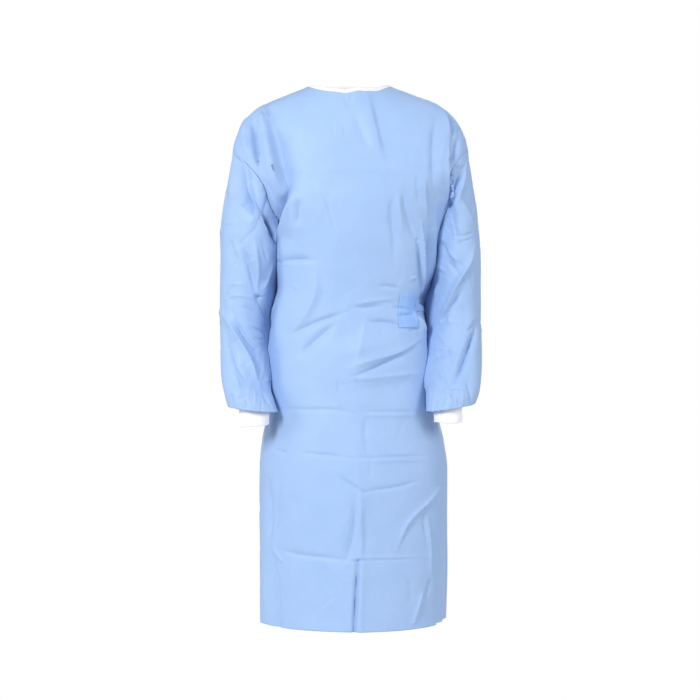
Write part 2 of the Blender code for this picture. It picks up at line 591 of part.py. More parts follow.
def make_binding():
    """One tape round the whole neckline, from the outer flap's edge to the inner panel's."""
    levels = np.array([BINDING_START + 0.0004, 0.9948, 1.0])[:, None]
    angles = np.linspace(FLAP_TOP, 360.0 + INNER_EDGE, 73)[None, :]
    proud = (TAPE - CLOTH) / 2
    body_panel("neck_binding", levels, angles, "white_tape", past_front_drop, proud, TAPE)


def past_front_drop(levels, angles):
    """The inner panel's drop, once the binding has come round the front to that panel."""
    return inner_drop(levels, angles - 360.0) * (angles > 360.0)


def make_belt():
    """The patch and the straps take the panels' own rows and columns, moved out."""
    rows = body_rows()
    low, high = belt_edges()
    lift = LIE_GAP + STRAP
    patch = rows[(rows > body_level(PATCH_Z[0]) - 1e-6) & (rows < body_level(PATCH_Z[1]) + 1e-6)][:, None]
    first, last = FRONT_COLUMNS[0], FRONT_COLUMNS[0] + FRONT_COLUMNS[1]
    body_panel("belt_patch", patch, front_columns(patch)[:, first : last + 1], "patch_blue",
               lift=lift, thickness=STRAP)

    levels = rows[(rows > low - 1e-6) & (rows < high + 1e-6)][:, None]
    front = front_columns(levels)[:, last:-1]
    front[:, 0] += 2 * gap_degrees(levels)[:, 0]
    inner = inner_columns(levels)[:, 1:]
    seam = np.full(levels.shape, 90.0)
    body_panel("belt_front", levels, np.hstack([front, seam, inner[:, :KNOT_COLUMN]]), drop=under_flap,
               lift=lift, thickness=STRAP)
    body_panel("belt_back", levels, inner[:, KNOT_COLUMN : INNER_BACK_COLUMNS + 2], drop=under_flap,
               lift=lift, thickness=STRAP)
    make_knot(levels, inner[:, KNOT_COLUMN - 1 : KNOT_COLUMN + 1])


def under_flap(levels, angles):
    """The inner panel's drop, as far as the outer flap's edge."""
    on_inner = (angles > 90.0) & (angles < flap_edge(levels) - 0.01)
    return inner_drop(levels, angles) * on_inner


def make_knot(levels, angles):
    """The knot is a rounded block, and its two tails hang down over the panels."""
    level, angle = np.array(levels.mean()), np.array(angles.mean())
    surface = body_cloth(level, angle)
    out = outward(body_cloth, level, angle)
    around = np.cross((0.0, 0.0, 1.0), out)
    around /= np.linalg.norm(around)
    upright = np.cross(out, around)
    width, depth, height = KNOT_SIZE
    turns = np.linspace(0, 2 * math.pi, 16, endpoint=False)
    rings = []
    for share in np.linspace(-1, 1, 7):
        swell = 0.45 + 0.55 * math.sqrt(1 - (0.96 * share) ** 2)
        centre = surface + out * (LIE_GAP + STRAP + depth / 2)
        ring = [
            centre
            + around * (share * width / 2)
            + out * (math.cos(t) * swell * depth / 2)
            + upright * (math.sin(t) * swell * height / 2)
            for t in turns
        ]
        rings.append(ring)
    plug("belt_knot", np.array(rings), "nonwoven")
    for number, (length, lean) in enumerate(zip(TAIL_LENGTHS, (-1.0, 1.0)), 1):
        top_z = BELT_Z - height / 2 - 2 * MM
        heights = np.linspace(top_z, top_z - length, 9)
        tail_levels = np.array([body_level(z) for z in heights])[:, None]
        drift = lean * (4.2 + 2.2 * np.linspace(0, 1, 9))[:, None]
        half = math.degrees(TAIL_WIDTH / 2 / 0.15)
        tail_angles = angle + drift + np.linspace(-half, half, 4)[None, :]
        body_panel(f"belt_tail_{number}", tail_levels, tail_angles, lift=TAIL_LIFT * number, thickness=STRAP)


def plug(name, rings, finish):
    """A closed solid through rings of points, with a flat cap at each end."""
    count, around = rings.shape[:2]
    points = rings.reshape(-1, 3)
    faces = [
        (i * around + j, i * around + (j + 1) % around, (i + 1) * around + (j + 1) % around, (i + 1) * around + j)
        for i in range(count - 1)
        for j in range(around)
    ]
    side = signed_volume(points, faces)
    faces += [tuple(range(around))[::-1], tuple((count - 1) * around + j for j in range(around))]
    mesh = bpy.data.meshes.new(name)
    mesh.from_pydata([tuple(p) for p in points], [], faces)
    mesh.update()
    if side < 0:
        mesh.flip_normals()
    mesh.materials.append(material(finish))
    mesh.shade_smooth()
    made = bpy.data.objects.new(name, mesh)
    bpy.context.scene.collection.objects.link(made)


def make_neck_tab():
    """The hook-and-loop tab, from the outer flap on to the inner panel beside it."""
    levels = body_rows()[TAB_ROWS][:, None]
    columns = inner_columns(levels)[:, TAB_COLUMNS]
    body_panel("neck_tab", levels, columns, "white_tape", under_flap, LIE_GAP + STRAP, STRAP)


def clear_scene():
    for thing in list(bpy.data.objects):
        bpy.data.objects.remove(thing)


def main():
    clear_scene()
    make_body()
    make_sleeve("sleeve_right", SLEEVE_RIGHT, RIGHT_SLEEVE_FOLDS, CUFF_RIGHT, -1)
    make_sleeve("sleeve_left", SLEEVE_LEFT, LEFT_SLEEVE_FOLDS, CUFF_LEFT, 1)
    make_cuff("cuff_right", CUFF_RIGHT, -1)
    make_cuff("cuff_left", CUFF_LEFT, 1)
    make_binding()
    make_belt()
    make_neck_tab()


main()
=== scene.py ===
import math
import bpy
import numpy as np
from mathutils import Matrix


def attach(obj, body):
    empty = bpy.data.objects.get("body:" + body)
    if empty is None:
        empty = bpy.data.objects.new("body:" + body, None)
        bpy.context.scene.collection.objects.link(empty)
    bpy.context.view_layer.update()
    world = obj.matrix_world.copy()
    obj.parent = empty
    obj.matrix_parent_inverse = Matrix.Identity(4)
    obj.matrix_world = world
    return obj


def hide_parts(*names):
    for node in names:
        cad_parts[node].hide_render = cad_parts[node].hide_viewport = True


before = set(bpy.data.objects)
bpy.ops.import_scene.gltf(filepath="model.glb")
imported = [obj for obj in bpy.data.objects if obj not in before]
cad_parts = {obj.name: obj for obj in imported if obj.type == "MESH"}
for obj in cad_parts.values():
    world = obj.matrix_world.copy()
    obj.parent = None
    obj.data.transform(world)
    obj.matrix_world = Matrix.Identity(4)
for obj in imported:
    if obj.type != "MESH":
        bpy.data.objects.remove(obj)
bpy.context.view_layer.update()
mm = 0.001

# camera: level with the middle of the gown, 4 m in front of it
viewHeight = -0.554
viewDistance = 4.0
cameraData = bpy.data.cameras.new("camera")
cameraData.sensor_width = 36
cameraData.lens = 97.97
camera = bpy.data.objects.new("camera", cameraData)
camera.location = (0, -viewDistance, viewHeight)
camera.rotation_euler = (math.radians(90), 0, 0)
bpy.context.scene.collection.objects.link(camera)
bpy.context.scene.camera = camera

# the gown's form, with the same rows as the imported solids: level, heights at side, front
# and back, reach to right and left, depth to front and back, squareness
bodyForm = np.array((
    (0.000, -1.118, -1.122, -1.118, 0.189, 0.197, 0.160, 0.160, 2.20),
    (0.130, -0.974, -0.976, -0.974, 0.191, 0.204, 0.160, 0.162, 2.20),
    (0.285, -0.806, -0.806, -0.806, 0.189, 0.206, 0.157, 0.166, 2.25),
    (0.345, -0.743, -0.743, -0.743, 0.185, 0.198, 0.153, 0.165, 2.25),
    (0.400, -0.680, -0.680, -0.680, 0.175, 0.183, 0.147, 0.158, 2.25),
    (0.515, -0.554, -0.554, -0.554, 0.172, 0.167, 0.136, 0.142, 2.25),
    (0.570, -0.492, -0.492, -0.492, 0.168, 0.158, 0.130, 0.134, 2.20),
    (0.605, -0.455, -0.455, -0.455, 0.160, 0.160, 0.128, 0.128, 2.20),
    (0.635, -0.422, -0.422, -0.422, 0.152, 0.169, 0.129, 0.126, 2.20),
    (0.680, -0.372, -0.372, -0.372, 0.155, 0.180, 0.132, 0.126, 2.20),
    (0.720, -0.328, -0.330, -0.328, 0.156, 0.186, 0.135, 0.128, 2.20),
    (0.780, -0.235, -0.262, -0.250, 0.198, 0.210, 0.136, 0.132, 2.20),
    (0.840, -0.140, -0.200, -0.170, 0.246, 0.248, 0.128, 0.130, 2.15),
    (0.880, -0.092, -0.150, -0.120, 0.232, 0.235, 0.118, 0.120, 2.10),
    (0.915, -0.060, -0.110, -0.082, 0.210, 0.212, 0.109, 0.108, 2.10),
    (0.945, -0.039, -0.078, -0.048, 0.181, 0.184, 0.100, 0.096, 2.05),
    (0.975, -0.017, -0.041, -0.017, 0.127, 0.127, 0.089, 0.085, 2.00),
    (0.9895, -0.003, -0.0235, 0.000, 0.0905, 0.0885, 0.0835, 0.0775, 2.00),
    (1.000, 0.000, -0.016, 0.008, 0.083, 0.081, 0.081, 0.074, 2.00),
))
sideZ, frontZ, backZ, reachRight, reachLeft, depthFront, depthBack, squareness = range(1, 9)
underarm, shoulderTip, bindingStart, underarmRow, hemZ = 0.720, 0.845, 0.9895, 10, -1.118
# half the armholes' width in degrees round the body, from the underarm up to the shoulder.
# The solids have an even 32: here both are wider at the top, and the left one is narrower
# from the middle down, so the seams lie up to 36 mm from theirs
armholeHeights = (-1.0, -0.5, 0.0, 0.5, 0.8, 1.0)
armholeRight = (30, 31, 33, 44, 50, 52)
armholeLeft = (21, 18, 19, 35, 46, 52)
seamGap = 0.02  # degrees
beltZ = -0.462

# a sleeve: level, the point furthest from the body, the point nearest to it, depth
rightSleeveForm = np.array((
    (0.00, 0.246, 0.000, -0.140, 0.156, 0.000, -0.328, 0.070),
    (0.12, 0.257, 0.000, -0.205, 0.161, 0.000, -0.352, 0.076),
    (0.25, 0.267, 0.002, -0.280, 0.160, 0.002, -0.388, 0.078),
    (0.40, 0.272, 0.006, -0.365, 0.160, 0.004, -0.432, 0.078),
    (0.55, 0.273, 0.006, -0.455, 0.171, 0.000, -0.488, 0.074),
    (0.70, 0.267, -0.012, -0.545, 0.178, -0.034, -0.554, 0.066),
    (0.82, 0.259, -0.044, -0.605, 0.180, -0.080, -0.614, 0.057),
    (0.91, 0.252, -0.076, -0.646, 0.161, -0.116, -0.654, 0.052),
    (0.965, 0.246, -0.088, -0.670, 0.151, -0.126, -0.682, 0.047),
))
leftSleeveForm = np.array((
    (0.00, 0.248, 0.000, -0.140, 0.186, 0.000, -0.328, 0.070),
    (0.12, 0.259, 0.000, -0.205, 0.190, 0.000, -0.352, 0.076),
    (0.25, 0.269, 0.002, -0.280, 0.184, 0.002, -0.388, 0.078),
    (0.40, 0.275, 0.006, -0.365, 0.173, 0.004, -0.432, 0.078),
    (0.55, 0.275, 0.006, -0.455, 0.165, 0.000, -0.482, 0.074),
    (0.70, 0.272, -0.012, -0.545, 0.166, -0.040, -0.552, 0.066),
    (0.82, 0.267, -0.044, -0.605, 0.162, -0.088, -0.612, 0.057),
    (0.91, 0.261, -0.076, -0.642, 0.160, -0.118, -0.652, 0.051),
    (0.965, 0.253, -0.088, -0.663, 0.158, -0.126, -0.680, 0.046),
))
sleeveLast, sleeveEndZ, capEnd = 0.965, -0.668, 0.36
rightCuffForm = dict(x=0.196, y=-0.110, halfWidth=0.0315, halfDepth=0.0315, top=-0.661, bottom=-0.709,
                     tilt=0.003)
leftCuffForm = dict(x=0.201, y=-0.110, halfWidth=0.0290, halfDepth=0.0320, top=-0.661, bottom=-0.702,
                    tilt=0.0)

# creases are drawn on the view from the front in steps of 2.1 mm, across from the
# gown's middle and down from the top of the neck: reach on the left and on the right
# of the line's direction and height (all mm), height kept at the start and the end,
# how crisp the line is, then its points
drawing = dict(step=2.1, middle=0.5, narrower=0.86, crisper=0.15)
frontCreases = (
    # shoulder on the right-hand side of the wearer
    (6, 13, 12, 0.8, 0.3, 0.7, (-86, 30), (-82, 48), (-78, 70), (-73, 90), (-67, 110)),
    (34, 8, -18, 0.7, 0.4, 0.5, (-81, 32), (-75, 52), (-70, 75), (-65, 96), (-62, 116)),
    (13, 6, -15, 0.2, 0.3, 0.7, (-98, 31), (-97, 48), (-94, 66), (-92, 82)),
    (6, 12, 8, 0.4, 0.2, 0.5, (-104, 32), (-105, 50), (-102, 70)),
    (12, 10, 4, 0.2, 0.4, 0.3, (-87, 44), (-84, 66), (-79, 88), (-73, 108)),
    (5, 5, -5, 0.3, 0.1, 0.7, (-86, 24), (-84, 38), (-84, 52)),
    (4, 4, -4, 0.4, 0.1, 0.8, (-91, 26), (-93, 38)),
    (4, 4, 3, 0.3, 0.1, 0.7, (-89, 28), (-89, 42)),
    (48, 5, 13, 0.1, 0.5, 0.6, (-52, 94), (-56, 105), (-61, 117), (-65, 130), (-69, 146), (-71, 160)),
    (5, 13, -17, 0.3, 0.5, 0.5, (-62, 104), (-67, 117), (-71, 132), (-74, 151)),
    (4, 5, -4, 0.3, 0.3, 0.9, (-84, 94), (-78, 104), (-72, 119), (-67, 131)),
    (10, 8, -5, 0, 0.1, 0.2, (-50, 110), (-51, 126), (-52, 142)),
    (5, 5, -2, 0, 0, 0.8, (-26, 106), (-20, 126), (-12, 150)),
    (10, 5, -6, 0.8, 0.2, 0.7, (-69, 176), (-50, 173), (-35, 175)),
    (4, 4, 3, 0.5, 0.1, 0.8, (-71, 171), (-66, 177), (-57, 179)),
    (9, 26, 6, 0.2, 0.1, 0.5, (-35, 176), (-33, 194), (-33, 209), (-43, 230), (-61, 251)),
    # collar and chest
    (4, 4, -1.9, 0.5, 0.1, 0.7, (-5, 8), (-3, 15), (-2, 23)),
    (4, 4, -1.9, 0.5, 0.1, 0.7, (2, 8), (0, 15), (-2, 23)),
    (3, 3, -1.3, 0, 0, 0.8, (-4, 36), (-6, 45), (-3, 55)),
    (3, 3, -1.1, 0, 0, 0.8, (-17, 34), (-16, 46), (-18, 56)),
    (4, 4, 1.3, 0.2, 0, 0.7, (-50, 12), (-40, 11), (-32, 12)),
    (8, 30, 6.4, 0.3, 0.1, 0.4, (17, 6), (24, 34), (30, 60), (36, 82)),
    (20, 10, -4.8, 0.2, 0.1, 0.2, (24, 10), (28, 32), (34, 56), (37, 78)),
    (10, 12, -3.2, 0, 0, 0.3, (5, 26), (12, 46), (21, 66)),
    (12, 26, 2.6, 0.2, 0.2, 0.3, (86, 87), (55, 84), (22, 82), (-20, 82), (-54, 80)),
    (10, 10, -6.4, 0, 0.1, 0.2, (53, 94), (56, 118), (61, 136), (69, 160)),
    (9, 10, -5.6, 0, 0.1, 0.2, (43, 98), (42, 128), (46, 158), (45, 180)),
    (8, 8, 3.2, 0, 0, 0.2, (48, 102), (50, 128), (54, 154)),
    (4, 5, -3.2, 0.2, 0, 0.6, (67, 86), (68, 104), (71, 120)),
    (6, 5, 4, 0.1, 0.2, 0.6, (75, 86), (75, 106), (78, 134)),
    (7, 4, -9.5, 0.3, 0.5, 0.5, (68, 154), (71, 184), (74, 216)),
    (4, 4, 9, 0.2, 0.4, 0.6, (72, 136), (74, 170), (76, 208)),
    (7, 6, -16, 0.2, 0.8, 0.5, (80, 142), (80, 172), (79, 198), (76, 217)),
    (4, 5, 6.5, 0.2, 0.3, 0.6, (86, 128), (86, 157), (84, 182), (81, 202)),
    # beside the left armhole
    (14, 9, -8, 0.2, 0.2, 0.4, (87, 30), (85, 50), (84, 74), (85, 104)),
    (12, 10, 6, 0.1, 0.3, 0.4, (97, 42), (93, 60), (90, 80), (92, 104)),
    (3, 9, 5, 0.2, 0.3, 0.6, (94, 24), (99, 35), (101, 52)),
    (4, 5, -6, 0.2, 0.3, 0.6, (97, 24), (102, 36), (103, 52)),
    (4, 4, -4, 0.3, 0.2, 0.8, (104, 32), (106, 48)),
    (4, 4, -3, 0.3, 0.2, 0.8, (110, 34), (109, 50)),
    (6, 5, -8, 0.2, 0.4, 0.6, (109, 51), (105, 65), (101, 79)),
    (3, 10, 9, 0.3, 0.5, 0.7, (99, 53), (99, 70), (97, 93), (95, 114), (93, 132), (92, 144)),
    # right side of the waist
    (6, 7, -4.9, 0.1, 0.1, 0.5, (-63, 251), (-50, 244), (-34, 236), (-18, 231), (0, 225)),
    (10, 10, -5.7, 0, 0, 0.2, (-53, 274), (-36, 255), (-10, 235)),
    (4, 4, 1.9, 0, 0, 0.8, (-57, 197), (-54, 201), (-50, 205)),
    # wrinkles beside the belt patch
    (7, 6, -4.1, 0.1, 0.2, 0.4, (3, 221), (17, 222), (31, 220)),
    (6, 5, 2.7, 0.1, 0.2, 0.5, (4, 218), (25, 215), (46, 212)),
    (7, 6, -5.1, 0.1, 0.2, 0.4, (16, 236), (34, 236), (48, 239), (54, 244)),
    (5, 5, -2.7, 0, 0, 0.5, (26, 201), (38, 200), (52, 203)),
    (4, 4, -2.7, 0, 0.3, 0.6, (42, 222), (54, 222), (63, 225)),
    (4, 4, 2.7, 0.2, 0, 0.7, (60, 194), (66, 191), (71, 192)),
    (4, 3, -3.4, 0.2, 0.2, 0.9, (58, 246), (64, 243), (71, 243)),
    (7, 7, 10.2, 0.3, 0.3, 0.3, (67, 227), (71, 238), (74, 249)),
    (5, 5, -3.4, 0.1, 0.2, 0.7, (46, 230), (58, 229), (67, 227)),
    (4, 4, -2.7, 0.2, 0, 0.8, (70, 176), (68, 186), (70, 197)),
    (14, 5, 3.7, 0.2, 0.2, 0.6, (16, 232), (12, 254), (7, 275)),
    (3, 3, -1.7, 0, 0, 1, (32, 240), (32, 251)),
    # long sweep over the lap
    (12, 7, 6.8, 0.2, 0.1, 0.6, (71, 252), (62, 260), (50, 266), (34, 271), (15, 276), (-2, 283)),
    (8, 6, -6.8, 0.3, 0.1, 0.7, (69, 257), (54, 267), (38, 275), (21, 284), (0, 292)),
    (5, 14, 3.9, 0.1, 0.2, 0.7, (0, 293), (22, 292), (48, 289), (74, 286)),
    (4, 4, -1.5, 0, 0, 0.8, (-11, 292), (-11, 310)),
    # packing creases across the skirt
    (4, 6, -2.9, 0.3, 0.2, 0.9, (-74, 322), (-50, 323), (-12, 323), (1, 326), (12, 329)),
    (5, 4, -2.3, 0.3, 0.3, 0.9, (12, 326), (42, 326), (73, 325)),
    (4, 6, 2.6, 0.3, 0.3, 0.8, (12, 329), (42, 329), (73, 329)),
    (5, 5, -2.5, 0.1, 0.2, 0.9, (-50, 366), (-36, 368), (-19, 369), (-1, 372)),
    (4, 4, -2.9, 0.5, 0, 0.8, (-73, 364), (-67, 365), (-62, 368)),
    (5, 4, -2.6, 0.3, 0.2, 0.9, (-1, 372), (16, 372), (46, 371), (77, 370)),
    (3, 6, 2.9, 0.3, 0.2, 0.8, (12, 374), (42, 374), (75, 373)),
    (7, 7, -3.2, 0.1, 0.4, 0.5, (-74, 462), (-66, 465), (-48, 469), (-28, 471), (-5, 473)),
    (4, 5, 2, 0.3, 0.2, 0.8, (-5, 472), (18, 471), (46, 471), (76, 470)),
    (5, 3, -1.9, 0.3, 0.1, 0.9, (-2, 475), (18, 473), (46, 473), (72, 472)),
    (4, 4, 3.6, 0.3, 0.2, 0.8, (-77, 460), (-73, 470), (-65, 477)),
    # upright packing crease down the middle
    (12, 4, -3.9, 0.1, 0.3, 0.5, (16, 328), (14, 344), (15, 359), (19, 372)),
    (3, 3, -3, 0.5, 0.2, 1, (20, 374), (20, 393)),
    (4, 4, -3.6, 0.1, 0.5, 0.9, (-11, 390), (2, 398), (14, 406)),
    (5, 4, -3.9, 0.6, 0.1, 0.9, (14, 406), (22, 404), (46, 401), (70, 394)),
    (5, 5, 5.4, 0.3, 0.6, 0.5, (11, 408), (11, 439), (12, 471)),
    (5, 9, -5.4, 0.2, 0.6, 0.4, (6, 412), (4, 444), (-2, 472)),
    (12, 5, -3.3, 0.2, 0.2, 0.4, (16, 414), (17, 442), (17, 470)),
    (7, 4, -9, 0.6, 0.9, 0.6, (8, 474), (6, 504), (5, 524), (4, 546)),
    (10, 4, 4.5, 0.4, 0.6, 0.5, (13, 474), (11, 504), (11, 546)),
    (3, 3, 2.1, 0.1, 0.5, 0.9, (2, 504), (2, 546)),
    # left side of the skirt
    (150, 60, 13, 0.1, 1, 0.5, (6, 332), (10, 384), (10, 454), (8, 546)),
    (110, 40, 9, 0.1, 0.1, 0.4, (2, 244), (12, 274), (18, 306)),
    (5, 5, 6.1, 0.3, 0.1, 1, (91, 399), (80, 414), (62, 430), (54, 441), (50, 452), (44, 468)),
    (5, 5, -2.6, 0.1, 0, 0.8, (93, 406), (82, 419), (68, 432)),
    (4, 5, 4.9, 0.1, 0.3, 0.9, (76, 426), (79, 449), (80, 472), (81, 492)),
    (5, 5, -4.3, 0.2, 0.2, 0.6, (81, 488), (77, 504), (71, 518)),
    (5, 5, 5.5, 0.1, 0.6, 0.8, (73, 502), (68, 518), (63, 536)),
    (4, 4, -2.9, 0, 0, 0.7, (74, 414), (72, 434), (77, 459)),
    (9, 8, -8.7, 0.2, 0.8, 0.3, (92, 392), (94, 429), (93, 474), (90, 538)),
    (6, 6, -4.3, 0, 0.5, 0.4, (86, 470), (88, 504), (89, 538)),
    (8, 8, -1.7, 0, 0, 0.3, (59, 489), (60, 506), (58, 522)),
    # right side of the skirt
    (5, 9, -7, 0.3, 0.1, 0.4, (-81, 394), (-79, 422), (-80, 460)),
    (5, 4, -2.8, 0.1, 0.1, 0.5, (-70, 384), (-69, 424), (-71, 459)),
    (4, 12, -7.7, 0.2, 1, 0.4, (-76, 470), (-72, 502), (-70, 540)),
    (6, 6, 3.5, 0.2, 0.4, 0.5, (-83, 470), (-85, 500), (-83, 536)),
    (4, 4, 2.1, 0.1, 0.1, 0.9, (-83, 474), (-87, 486), (-88, 494)),
)
rightSleeveCreases = (
    # from the shoulder seam down the front
    (5, 20, -18, 0.5, 0.1, 0.7, (-114, 63), (-108, 83), (-104, 100), (-98, 118), (-92, 135)),
    (9, 4, 9, 0.3, 0.3, 0.8, (-107, 82), (-101, 102), (-93, 121), (-84, 140), (-74, 158)),
    (4, 4, -4, 0.2, 0.2, 0.8, (-99, 88), (-97, 104), (-92, 119), (-84, 136)),
    (4, 8, 4, 0.1, 0.2, 0.6, (-104, 74), (-100, 86), (-98, 100)),
    (7, 7, -17, 0.2, 0.5, 0.5, (-87, 130), (-80, 141), (-73, 157)),
    (4, 4, 3, 0.1, 0.1, 0.4, (-120, 74), (-119, 96), (-120, 118)),
    (12, 7, -6, 0.1, 0.4, 0.3, (-111, 152), (-102, 174), (-95, 198), (-92, 213)),
    (5, 9, 5, 0.1, 0.4, 0.6, (-95, 150), (-91, 176), (-92, 206)),
    (4, 4, -3, 0.1, 0.1, 0.5, (-89, 152), (-84, 168), (-82, 176)),
    (5, 5, 4, 0.1, 0.3, 0.5, (-75, 174), (-82, 194), (-88, 209)),
    (7, 12, -3, 0, 0, 0.3, (-121, 150), (-117, 166), (-113, 180)),
    # elbow
    (4, 4, -4.5, 0.8, 0.4, 0.6, (-93, 211), (-87, 211)),
    (5, 4, -3.4, 0.5, 0.2, 0.8, (-92, 213), (-87, 226), (-81, 235)),
    (4, 4, 2, 0.3, 0.1, 0.8, (-87, 210), (-81, 201), (-76, 195)),
    (8, 9, 9, 0.3, 0.1, 0.5, (-129, 226), (-120, 236), (-108, 259), (-98, 279), (-90, 301)),
    (6, 6, -5.5, 0.2, 0.3, 0.4, (-117, 226), (-110, 242), (-99, 258), (-87, 267)),
    (10, 7, -5.5, 0.1, 0.1, 0.3, (-125, 244), (-119, 264), (-110, 284)),
    (3, 3, -2, 0.2, 0.4, 0.8, (-97, 242), (-90, 244), (-83, 248)),
    (3, 3, -1.4, 0.1, 0.3, 0.8, (-98, 252), (-92, 253), (-84, 254)),
    (3, 3, 1.2, 0.1, 0.1, 0.8, (-103, 237), (-95, 240), (-86, 243)),
    (5, 5, 1.6, 0.1, 0.1, 0.8, (-127, 215), (-116, 208), (-94, 212)),
    (5, 4, -1.6, 0.1, 0.1, 0.7, (-110, 220), (-100, 223), (-92, 231)),
    # forearm
    (5, 5, 3.4, 0.2, 0.3, 0.6, (-81, 266), (-85, 282), (-90, 301)),
    (4, 4, -3, 0.2, 0.2, 0.7, (-112, 314), (-106, 308), (-99, 305)),
    (4, 4, -3.6, 0.1, 0.4, 0.6, (-119, 306), (-118, 312), (-117, 320)),
    (5, 5, -2.6, 0.1, 0.1, 0.5, (-114, 276), (-110, 286), (-103, 293)),
    (4, 4, 2, 0.1, 0.1, 0.7, (-116, 286), (-112, 294), (-109, 306)),
    (4, 4, -2.2, 0.1, 0.5, 0.7, (-88, 304), (-84, 312), (-78, 321)),
    (4, 4, 2.2, 0.1, 0.5, 0.7, (-95, 302), (-94, 310), (-95, 322)),
    (3, 3, -2.4, 0, 0.8, 0.7, (-104, 312), (-103, 322)),
    (3, 3, -2.4, 0, 0.8, 0.7, (-88, 313), (-88, 324)),
)
leftSleeveCreases = (
    (4, 6, 6, 0.2, 0.3, 0.8, (112, 55), (106, 64), (103, 75), (101, 86)),
    (5, 3, -5, 0.2, 0.2, 0.8, (116, 64), (109, 71), (105, 82)),
    # ladder of short crumples beside the armhole
    (5, 4, 7, 0.3, 0.4, 0.6, (101, 79), (106, 66), (113, 60), (119, 68)),
    (4, 4, -7, 0.4, 0.4, 0.8, (101, 81), (106, 80), (111, 82)),
    (4, 4, -5, 0.4, 0.3, 0.9, (110, 84), (105, 92), (99, 102)),
    (3, 3, 5, 0.2, 0.2, 0.9, (100, 87), (106, 90)),
    (3, 3, -4, 0.2, 0.2, 0.9, (99, 94), (106, 96)),
    (3, 3, 5, 0.2, 0.2, 0.9, (98, 99), (105, 101)),
    (4, 4, -6, 0.3, 0.3, 0.8, (97, 105), (105, 106)),
    (3, 3, 5, 0.3, 0.3, 0.9, (97, 111), (103, 112)),
    (4, 4, -5, 0.3, 0.3, 0.8, (96, 118), (101, 118)),
    (8, 7, -15, 0.3, 0.4, 0.5, (114, 82), (109, 95), (106, 106), (101, 117), (96, 128)),
    (12, 4, 7, 0.3, 0.3, 0.6, (117, 78), (114, 95), (110, 106), (103, 117), (97, 128)),
    # shoulder to elbow
    (5, 5, -4.5, 0.2, 0.1, 0.5, (121, 80), (118, 98), (113, 113)),
    (5, 12, 3.4, 0.3, 0.1, 0.6, (112, 113), (120, 128), (126, 144)),
    (3, 3, -2.2, 0.4, 0.2, 0.9, (94, 132), (100, 144), (103, 149)),
    (4, 4, -2.4, 0.2, 0.2, 0.9, (103, 149), (114, 150), (126, 145)),
    (4, 4, -2.4, 0.1, 0.2, 0.8, (102, 160), (113, 155), (125, 152)),
    (3, 3, 1.6, 0.3, 0.1, 0.9, (96, 135), (99, 142)),
    (5, 6, -7, 0.6, 0.2, 0.6, (92, 158), (96, 164), (101, 176), (106, 185)),
    (5, 5, 4, 0.2, 0.2, 0.5, (96, 160), (102, 170), (110, 177)),
    (3, 3, -2.4, 0.3, 0.2, 0.9, (86, 181), (91, 186), (96, 191)),
    (3, 3, 2, 0.3, 0.2, 0.9, (86, 177), (92, 182), (97, 187)),
    (3, 3, -3, 0.2, 0.2, 0.8, (109, 175), (115, 182)),
    (4, 4, 3.4, 0.3, 0.3, 0.6, (85, 193), (88, 201), (84, 211)),
    (9, 8, 10, 0.2, 0.3, 0.4, (126, 158), (121, 174), (112, 190), (102, 209), (91, 236)),
    (7, 5, -6.5, 0.1, 0.4, 0.3, (113, 204), (105, 216), (96, 230), (90, 238)),
    (3, 8, -2.4, 0.1, 0.1, 0.6, (111, 216), (115, 228), (117, 244)),
    (5, 6, 2.4, 0.1, 0.1, 0.5, (125, 176), (123, 194), (126, 210)),
    # elbow to cuff
    (7, 8, -12, 0.3, 0.3, 0.5, (129, 236), (121, 259), (113, 278), (102, 299)),
    (5, 5, -4, 0.2, 0.2, 0.5, (117, 246), (123, 241), (130, 232)),
    (6, 8, 4, 0.1, 0.1, 0.4, (116, 248), (111, 266), (102, 286)),
    (5, 5, -3, 0.2, 0.2, 0.6, (83, 273), (93, 268), (108, 266)),
    (4, 4, 2, 0.2, 0.1, 0.6, (86, 263), (96, 263), (106, 264)),
    (3, 3, 2.2, 0.2, 0.2, 1, (89, 284), (93, 292), (99, 302)),
    (3, 3, -1.8, 0.2, 0.2, 0.9, (91, 282), (95, 290), (100, 299)),
    (4, 4, -4, 0.3, 0.3, 0.7, (114, 302), (104, 301), (97, 302)),
    (4, 4, -3.4, 0.3, 0.3, 0.7, (106, 300), (102, 308), (104, 317)),
    (3, 3, 2.4, 0.2, 0.3, 0.9, (97, 302), (100, 310), (105, 318)),
    (5, 5, 3.6, 0.1, 0.5, 0.5, (97, 300), (94, 310), (92, 322)),
    (4, 4, -2.6, 0.1, 0.5, 0.6, (81, 300), (81, 310), (80, 320)),
    (4, 4, -3, 0.1, 0.5, 0.6, (117, 292), (120, 304), (122, 318)),
    (3, 3, 2, 0.1, 0.5, 0.8, (113, 296), (114, 308), (113, 320)),
    (3, 3, -2.4, 0, 0.8, 0.7, (87, 312), (87, 322)),
    (3, 3, -2.4, 0, 0.8, 0.7, (108, 311), (109, 322)),
)

